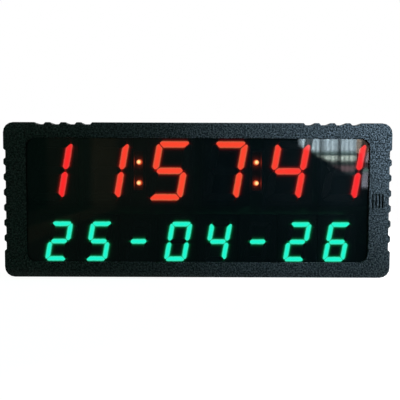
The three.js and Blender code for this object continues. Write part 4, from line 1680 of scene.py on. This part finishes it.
@dataclass
class Electronics(Assembly):
    """The board and what is on it; rows and columns of chips are in whole millimetres.

    No chip stands where the hatch's well is.
    """

    board_thickness: float = 1.6 * MM
    board_edge: float = 0.15 * MM
    holder_edge: float = 0.3 * MM
    switch_edge: float = 0.2 * MM
    can_front: tuple[Pair, ...] = (
        (0.0, 0.0), (8.6 * MM, 0.0), (9 * MM, 0.4 * MM), (9.5 * MM, 0.5 * MM), (9.9 * MM, 0.7 * MM),
        (10 * MM, 1 * MM))
    can_back: tuple[Pair, ...] = (
        (10 * MM, 0.35 * MM), (9.65 * MM, 0.0), (8.4 * MM, 0.0), (8.3 * MM, 0.08 * MM), (0.0, 0.08 * MM))
    port_depth: float = 2 * MM
    port_radii: tuple[float, ...] = (1.1 * MM, 1.2 * MM, 1.5 * MM)
    port_edge: float = 0.2 * MM
    sounder_edge: float = 0.8 * MM
    chip: Pair = (2 * MM, 1.2 * MM)
    chip_root: float = 0.05 * MM
    chip_rise: float = 0.6 * MM
    chip_corner: float = 0.15 * MM
    chip_edge: float = 0.1 * MM
    chip_end: Pair = (0.5 * MM, 1.25 * MM)
    chip_end_at: float = 1.2 * MM
    chip_end_rise: float = 0.63 * MM
    chip_rows: tuple[int, ...] = (24, 62, 70, 100)
    chip_columns: range = range(-170, 171, 10)
    well_x: Pair = (-85 * MM, -25 * MM)
    well_z: Pair = (60 * MM, 110 * MM)
    share: float = 0.55
    seed: int = 7

    def coin(self) -> None:
        """The coin cell: can, insulating step and cap."""
        _, _, low, high = Box.of("coin_cell").axis
        profile = [(radius, low + depth) for radius, depth in self.can_front]
        profile += [(radius, high - depth) for radius, depth in self.can_back]
        steel = TurnedMetal("cell_can", (0.44, 0.44, 0.42), 0.3).paint()
        can = self.turned("coin_cell_can", "coin_cell", profile, 64, steel)
        self.seat(can, "case", "steel", "coin_cell")

    def sounder(self) -> None:
        """The buzzer: a round can with a bevelled front and a port."""
        box = Box.of("buzzer")
        low, high, radius = box.low.y, box.high.y, (box.high.x - box.low.x) / 2
        floor = low + self.port_depth
        inner, outer, mouth = self.port_radii
        profile = [(0.0, floor), (inner, floor), (outer, low + self.port_edge), (mouth, low)]
        profile += [(radius - step, low + depth) for step, depth in quarter(self.sounder_edge)]
        profile += [(radius, high), (0.0, high)]
        plastic = SatinPlastic("sounder_plastic", (0.012, 0.012, 0.012)).paint()
        self.seat(self.turned("sounder", "buzzer", profile, 40, plastic), "case", "part_black", "buzzer")

    def chips(self) -> None:
        """Rows of small parts soldered to the board's back: rounded blocks with bright ends."""
        face = Box.of("main_board").low.y + self.board_thickness
        places = [(x * MM, z * MM) for x in self.chip_columns for z in self.chip_rows]
        places = [(x, z) for x, z in places
                  if not (self.well_x[0] < x < self.well_x[1] and self.well_z[0] < z < self.well_z[1])]
        keep = np.random.default_rng(self.seed).random(len(places)) < self.share
        parts = [place for place, kept in zip(places, keep) if kept]
        foot = face - self.chip_root
        span, end_span = (foot, face + self.chip_rise), (foot, face + self.chip_end_rise)
        edge, tips = self.chip_edge, (-self.chip_end_at, self.chip_end_at)
        bodies = [plate(oblong(x, z, self.chip, self.chip_corner), span, edge) for x, z in parts]
        ends = [plate(oblong(x + tip, z, self.chip_end, edge), end_span, edge)
                for x, z in parts for tip in tips]
        black = SatinPlastic("chip_black", (0.01, 0.01, 0.011), 0.35).paint()
        tin = TurnedMetal("solder_tin", (0.72, 0.72, 0.7), 0.3).paint()
        self.seat(solid("chip_bodies", joined(bodies), black), "case", "part_black")
        self.seat(solid("chip_ends", joined(ends), tin), "case", "steel")

    def build(self) -> None:
        """Dresses the board and makes what is on it."""
        part = SatinPlastic("part_plastic", (0.02, 0.02, 0.021), 0.4).paint()
        self.dress("main_board", SolderResist().paint(), self.board_edge)
        self.dress("cell_holder", part, self.holder_edge)
        for name in BUTTONS:
            self.dress(f"{name}_switch", part, self.switch_edge)
        self.coin()
        self.sounder()
        self.chips()


# Studio


@dataclass(frozen=True)
class FloorWhite:
    """Pale floor: white where it is seen, but for the clock's shadow, and grey and unlit in other rays."""

    tone: float = 0.2
    light: float = 0.95
    fade: Pair = (0.32, 0.75)
    blot: float = 3 * MM

    def paint(self) -> Material:
        """Builds the material; far from the clock its light takes the place of the shader.

        Returns:
            The material.
        """
        constants = {"Roughness": 0.9, "Specular IOR Level": 0.0, "Emission Strength": 1.0}
        paint = Paint("floor_white", constants)
        dark, pale = (times(WHITE, share * self.tone) for share in (0.98, 1.02))
        paint.feed("Base Color", paint.mix(paint.noise(self.blot), dark, pale))
        seen = paint.seen()
        far = paint.vector("LENGTH", paint.place(), output=1).step(*self.fade)
        white = paint.node("Emission", None, {"Color": (*WHITE, 1.0), "Strength": 1.0})
        paint.surface(far * seen, Wire(paint, paint.shader.outputs[0]), white, "Material Output")
        return paint.shine(paint.tint(WHITE, seen * self.light))


@dataclass(frozen=True)
class MirroredRoom:
    """What the window mirrors: a dark wall with faint upright bands, and a bright pane on the right."""

    pane: Pair = (0.3042, 0.468)
    pane_start: Pair = (0.1816, 0.2016)
    pane_bend: Pair = (0.45, 1.2)
    pane_light: Pair = (7.6, 5.5)
    bars: tuple[Pair, ...] = ((0.3658, 0.62), (0.4183, 0.7))
    sill: Pair = (0.1, 0.22)
    strip_start: Pair = (0.484, 0.491)
    strip_light: float = 8.0
    strip_span: Pair = (0.06, 0.185)
    beside_start: Pair = (0.166, 0.176)
    beside_light: Colour = (4.4, 3.6, 2.9)
    end: Pair = (0.53, 0.24)
    spared: Pair = (0.3267, 0.4964)
    spared_width: Pair = (0.009, 0.0145)
    spared_lean: float = 0.2
    spared_height: float = 0.1977
    spared_light: float = 0.18
    soft: float = 0.006
    bar_soft: Pair = (0.003, 0.011)
    end_soft: float = 0.01
    room_start: Pair = (-0.05, 0.05)
    patch: float = 90 * MM
    dark: Colour = (0.01, 0.045, 0.04)
    room: Stops = (
        (0.0, (0.01, 0.02, 0.01)), (0.04, (0.01, 0.02, 0.01)), (0.055, (0.05, 0.05, 0.03)),
        (0.17, (0.04, 0.05, 0.03)), (0.19, (0.13, 0.11, 0.06)), (0.245, (0.12, 0.1, 0.055)),
        (0.265, (0.06, 0.05, 0.035)), (0.37, (0.05, 0.045, 0.035)), (0.46, (0.03, 0.03, 0.03)),
        (0.55, (0.0, 0.0, 0.015)), (1.0, (0.01, 0.015, 0.03)))
    strip: Stops = (
        (0.0, BLACK), (0.04, (0.05, 0.05, 0.06)), (0.1, (0.42, 0.43, 0.52)), (0.4, (0.4, 0.4, 0.47)),
        (0.48, (0.2, 0.36, 0.32)), (0.56, (0.1, 0.08, 0.09)), (0.64, (0.1, 0.06, 0.07)),
        (0.72, (0.62, 0.5, 0.58)), (1.0, (0.68, 0.6, 0.68)))
    sills: Stops = (
        (0.0, BLACK), (0.1, (0.03, 0.04, 0.04)), (0.17, (0.2, 0.13, 0.14)), (0.24, (0.2, 0.13, 0.14)),
        (0.33, (0.04, 0.06, 0.055)), (0.37, (0.15, 0.18, 0.16)), (0.45, (0.75, 0.9, 0.8)),
        (0.5, (0.75, 0.9, 0.8)), (0.55, (0.12, 0.19, 0.18)), (0.6, (0.2, 0.3, 0.3)),
        (0.68, (0.66, 0.84, 0.92)), (1.0, (0.66, 0.86, 0.97)))

    def paint(self) -> Material:
        """Builds the material: its light is dark + room + (sills × pane + strip + beside) × inside.

        The room is a ramp of upright bands in X. The pane lies between two upright lines and above a bent
        one, is darkened at its two bars, divided by its sills in Z and striped by a blind in X. The strip
        and the patch beside the pane lie to its right. Inside ends all three at the right and at the top,
        and dims them where the image falls on two lit bars.

        Returns:
            The material.
        """
        paint = Paint("wall_light", {"Base Color": BLACK, "Specular IOR Level": 0.0, "Roughness": 1.0,
                                     "Emission Strength": 1.0})
        x, z = paint.along((1.0, 0.0, 0.0)), paint.along((0.0, 0.0, 1.0))
        (left, right), soft = self.pane, self.soft
        along = x - left
        edge = z + along * self.pane_bend[0] + along * along * self.pane_bend[1]
        pane = x.step(left - 2 * soft, left + soft) * (1.0 - x.step(right - soft, right + soft))
        for bar, share in self.bars:
            pane = pane * (1.0 - (1.0 - abs(x - bar).step(*self.bar_soft)) * share)
        waves = {"Vector": paint.place(), "Scale": 21.7, "Distortion": 1.5, "Detail": 1.0,
                 "Detail Scale": 0.6}
        blind = paint.node("TexWave", {"bands_direction": "X"}, waves, 1)
        light = pane * edge.step(*self.pane_start) * (blind * self.pane_light[1] + self.pane_light[0])
        sills = paint.ramp(self.sills, (z - self.sill[0]) / (self.sill[1] - self.sill[0]))
        beside = x.step(right - soft / 2, right + soft) * z.step(*self.beside_start)
        strip = x.step(*self.strip_start) * (1.0 - beside)
        low, high = self.strip_span
        column = paint.tint(paint.ramp(self.strip, (z - low) / (high - low)), strip * self.strip_light)
        total = paint.vector("ADD", paint.vector("ADD", paint.tint(sills, light), column),
                             paint.tint(self.beside_light, beside))
        right_end, top_end = (wire.step(end, end + self.end_soft) for wire, end in zip((x, z), self.end))
        inside = (1.0 - right_end) * (1.0 - top_end)
        lean = x - (z - self.spared_height) * self.spared_lean
        for bar in self.spared:
            beyond = abs(lean - bar).step(*self.spared_width)
            inside = inside * (beyond * (1 - self.spared_light) + self.spared_light)
        cloud = paint.noise(self.patch) * 0.8 + 0.6
        room = paint.tint(paint.ramp(self.room, x + 0.5), cloud * z.step(*self.room_start))
        dark = paint.vector("ADD", room, self.dark)
        return paint.shine(paint.vector("ADD", paint.tint(total, inside), dark))


@dataclass(frozen=True)
class Lamp:
    """A soft lamp with a rectangular face; spread is the angle that its light fills, in degrees."""

    name: str
    place: tuple[float, float, float]
    aim: tuple[float, float, float]
    size: Pair
    watts: float
    colour: Colour
    spread: float

    def build(self) -> None:
        """Hangs the lamp."""
        light = bpy.data.lights.new(self.name, "AREA")
        light.shape = "RECTANGLE"
        light.size, light.size_y = self.size
        light.energy = self.watts
        light.color = self.colour
        light.spread = math.radians(self.spread)
        lamp = added(self.name, light)
        lamp.visible_camera = lamp.visible_glossy = False
        lamp.location = self.place
        lamp.rotation_euler = (Vector(self.aim) - Vector(self.place)).to_track_quat("-Z", "Y").to_euler()


@dataclass
class Studio:
    """Pale floor, soft lamps, white surroundings and the camera."""

    ambient: float = 0.19
    ambient_colour: Colour = (0.35, 1.0, 0.7)
    floor_size: float = 6.0
    wall: Pair = (-1.0, -0.0185)
    wall_size: Pair = (8.0, 4.0)
    wall_lift: float = 4 * MM
    lamps: tuple[Lamp, ...] = (
        Lamp("overhead", (0.0, 0.05, 1.0), aim=(0.0, 0.05, 0.0), size=(1.2, 0.3), watts=2.4,
             colour=(0.96, 1.0, 1.0), spread=180.0),
        Lamp("side", (0.5, -0.36, 0.28), aim=(0.2, 0.0, 0.16), size=(0.1, 0.1), watts=0.65,
             colour=(0.59, 0.72, 1.0), spread=40.0),
        Lamp("rear", (0.6, 0.5, 0.25), aim=(-0.05, 0.0, 0.08), size=(0.3, 0.3), watts=6.0,
             colour=WHITE, spread=90.0))
    camera_place: tuple[float, float, float] = (0.00161, -0.4975, 0.09954)
    tilt: float = math.radians(2.741)
    pan: float = math.radians(0.09)
    roll: float = math.radians(0.204)
    sensor: float = 36.0
    focal_share: float = 490.36 / 400

    def surroundings(self) -> None:
        """A world that is white where it is seen or mirrored, and a dim even light elsewhere."""
        world = bpy.data.worlds.new("studio")
        bpy.context.scene.world = world
        world.use_nodes = True
        nodes = Nodes(world.node_tree)
        dim, white = (nodes.node("Background", None, {"Color": (*colour, 1.0), "Strength": strength})
                      for colour, strength in ((self.ambient_colour, self.ambient), (WHITE, 1.0)))
        nodes.surface(nodes.seen(), dim, white, "World Output")

    def sheet(self, name: str, points: list[tuple], faces: list[tuple], material: Material) -> Piece:
        """A sheet of flat faces.

        Args:
            name: its name.
            points: its corners.
            faces: the corners of each face.
            material: its finish.

        Returns:
            The sheet.
        """
        mesh = bpy.data.meshes.new(name)
        mesh.from_pydata(points, [], faces)
        mesh.materials.append(material)
        return added(name, mesh)

    def floor(self) -> None:
        """The floor: one square."""
        half = self.floor_size / 2
        points = [(-half, -half, 0), (half, -half, 0), (half, half, 0), (-half, half, 0)]
        piece = self.sheet("floor", points, [(0, 1, 2, 3)], FloorWhite().paint())
        piece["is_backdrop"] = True

    def dark_wall(self) -> None:
        """A dark floor in front of the clock and a wall at its end, which only mirrors see."""
        half, top = self.wall_size[0] / 2, self.wall_size[1]
        line = [(self.wall[1], self.wall_lift), (self.wall[0], self.wall_lift), (self.wall[0], top)]
        points = [(side * half, y, z) for side in (-1, 1) for y, z in line]
        piece = self.sheet("dark_wall", points, [(0, 1, 4, 3), (1, 2, 5, 4)], MirroredRoom().paint())
        for kind in ("camera", "diffuse", "shadow"):
            setattr(piece, f"visible_{kind}", False)
        piece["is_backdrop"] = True

    def camera(self) -> None:
        """The photograph's camera: tilted down, turned and rolled by small angles.

        Forward is (sin p cos t, cos p cos t, -sin t), right is (cos p, -sin p, 0) and up is
        right × forward; right and up then turn by the roll.
        """
        tilt, pan, roll = self.tilt, self.pan, self.roll
        ahead = Vector((math.sin(pan) * math.cos(tilt), math.cos(pan) * math.cos(tilt), -math.sin(tilt)))
        right = Vector((math.cos(pan), -math.sin(pan), 0.0))
        up = right.cross(ahead)
        across = right * math.cos(roll) + up * math.sin(roll)
        above = up * math.cos(roll) - right * math.sin(roll)
        data = bpy.data.cameras.new("camera")
        data.sensor_width = self.sensor
        data.lens = self.sensor * self.focal_share
        data.clip_start = 0.01
        camera = added("camera", data)
        turn = Matrix((across, above, -ahead)).transposed().to_4x4()
        camera.matrix_world = Matrix.Translation(self.camera_place) @ turn
        bpy.context.scene.camera = camera

    def build(self) -> None:
        """Sets up the studio."""
        bpy.context.scene.view_settings.view_transform = "Standard"
        self.camera()
        self.surroundings()
        self.floor()
        self.dark_wall()
        for lamp in self.lamps:
            lamp.build()


RED = LitResin("red_resin", (
    (0.0, (0.12, 0.003, 0.002)), (0.09, (0.25, 0.012, 0.01)), (0.2, (0.55, 0.045, 0.04)),
    (0.32, (0.78, 0.04, 0.038)), (0.5, (0.86, 0.02, 0.022)), (1.0, (0.92, 0.012, 0.016))),
    warm=(0.0, 0.04, 0.004))
GREEN = LitResin("green_resin", (
    (0.0, (0.0, 0.16, 0.08)), (0.16, (0.02, 0.45, 0.27)), (0.35, (0.045, 0.78, 0.5)),
    (0.6, (0.012, 0.86, 0.56)), (1.0, (0.006, 0.86, 0.59))))
RED_GLOW = Glow((1.0, 0.006, 0.0), edge=0.34, halo=0.02, edge_reach=0.6 * MM, halo_reach=2 * MM)
GREEN_GLOW = Glow((0.0, 1.0, 0.27), edge=0.4, halo=0.02, edge_reach=0.6 * MM, halo_reach=2 * MM)


def corners(bounds: tuple[Vector, Vector]) -> list[list[float]]:
    """Two corners as plain lists."""
    return [list(corner) for corner in bounds]


def main() -> None:
    """Builds the clock and its studio."""
    logging.basicConfig(level=logging.INFO, format="%(message)s")
    cad = corners(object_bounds())
    time = DigitRow(Row.TIME, height=60.3 * MM, width=36.4 * MM, stroke=8 * MM, soft=1.8 * MM,
                    hole_inset=0.42 * MM, resin=RED, glow=RED_GLOW, slot="red_light")
    date = DigitRow(Row.DATE, height=40.5 * MM, width=23.2 * MM, stroke=5.75 * MM, soft=2.3 * MM,
                    hole_inset=0.15 * MM, resin=GREEN, glow=GREEN_GLOW, slot="green_light")
    for part in (Studio(), FrontShell(), time, date, Colons(), RearCover(), Fittings(), Electronics()):
        part.build()
    sizes = {"cad": cad, "visual": corners(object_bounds())}


if __name__ == "__main__":
    main()
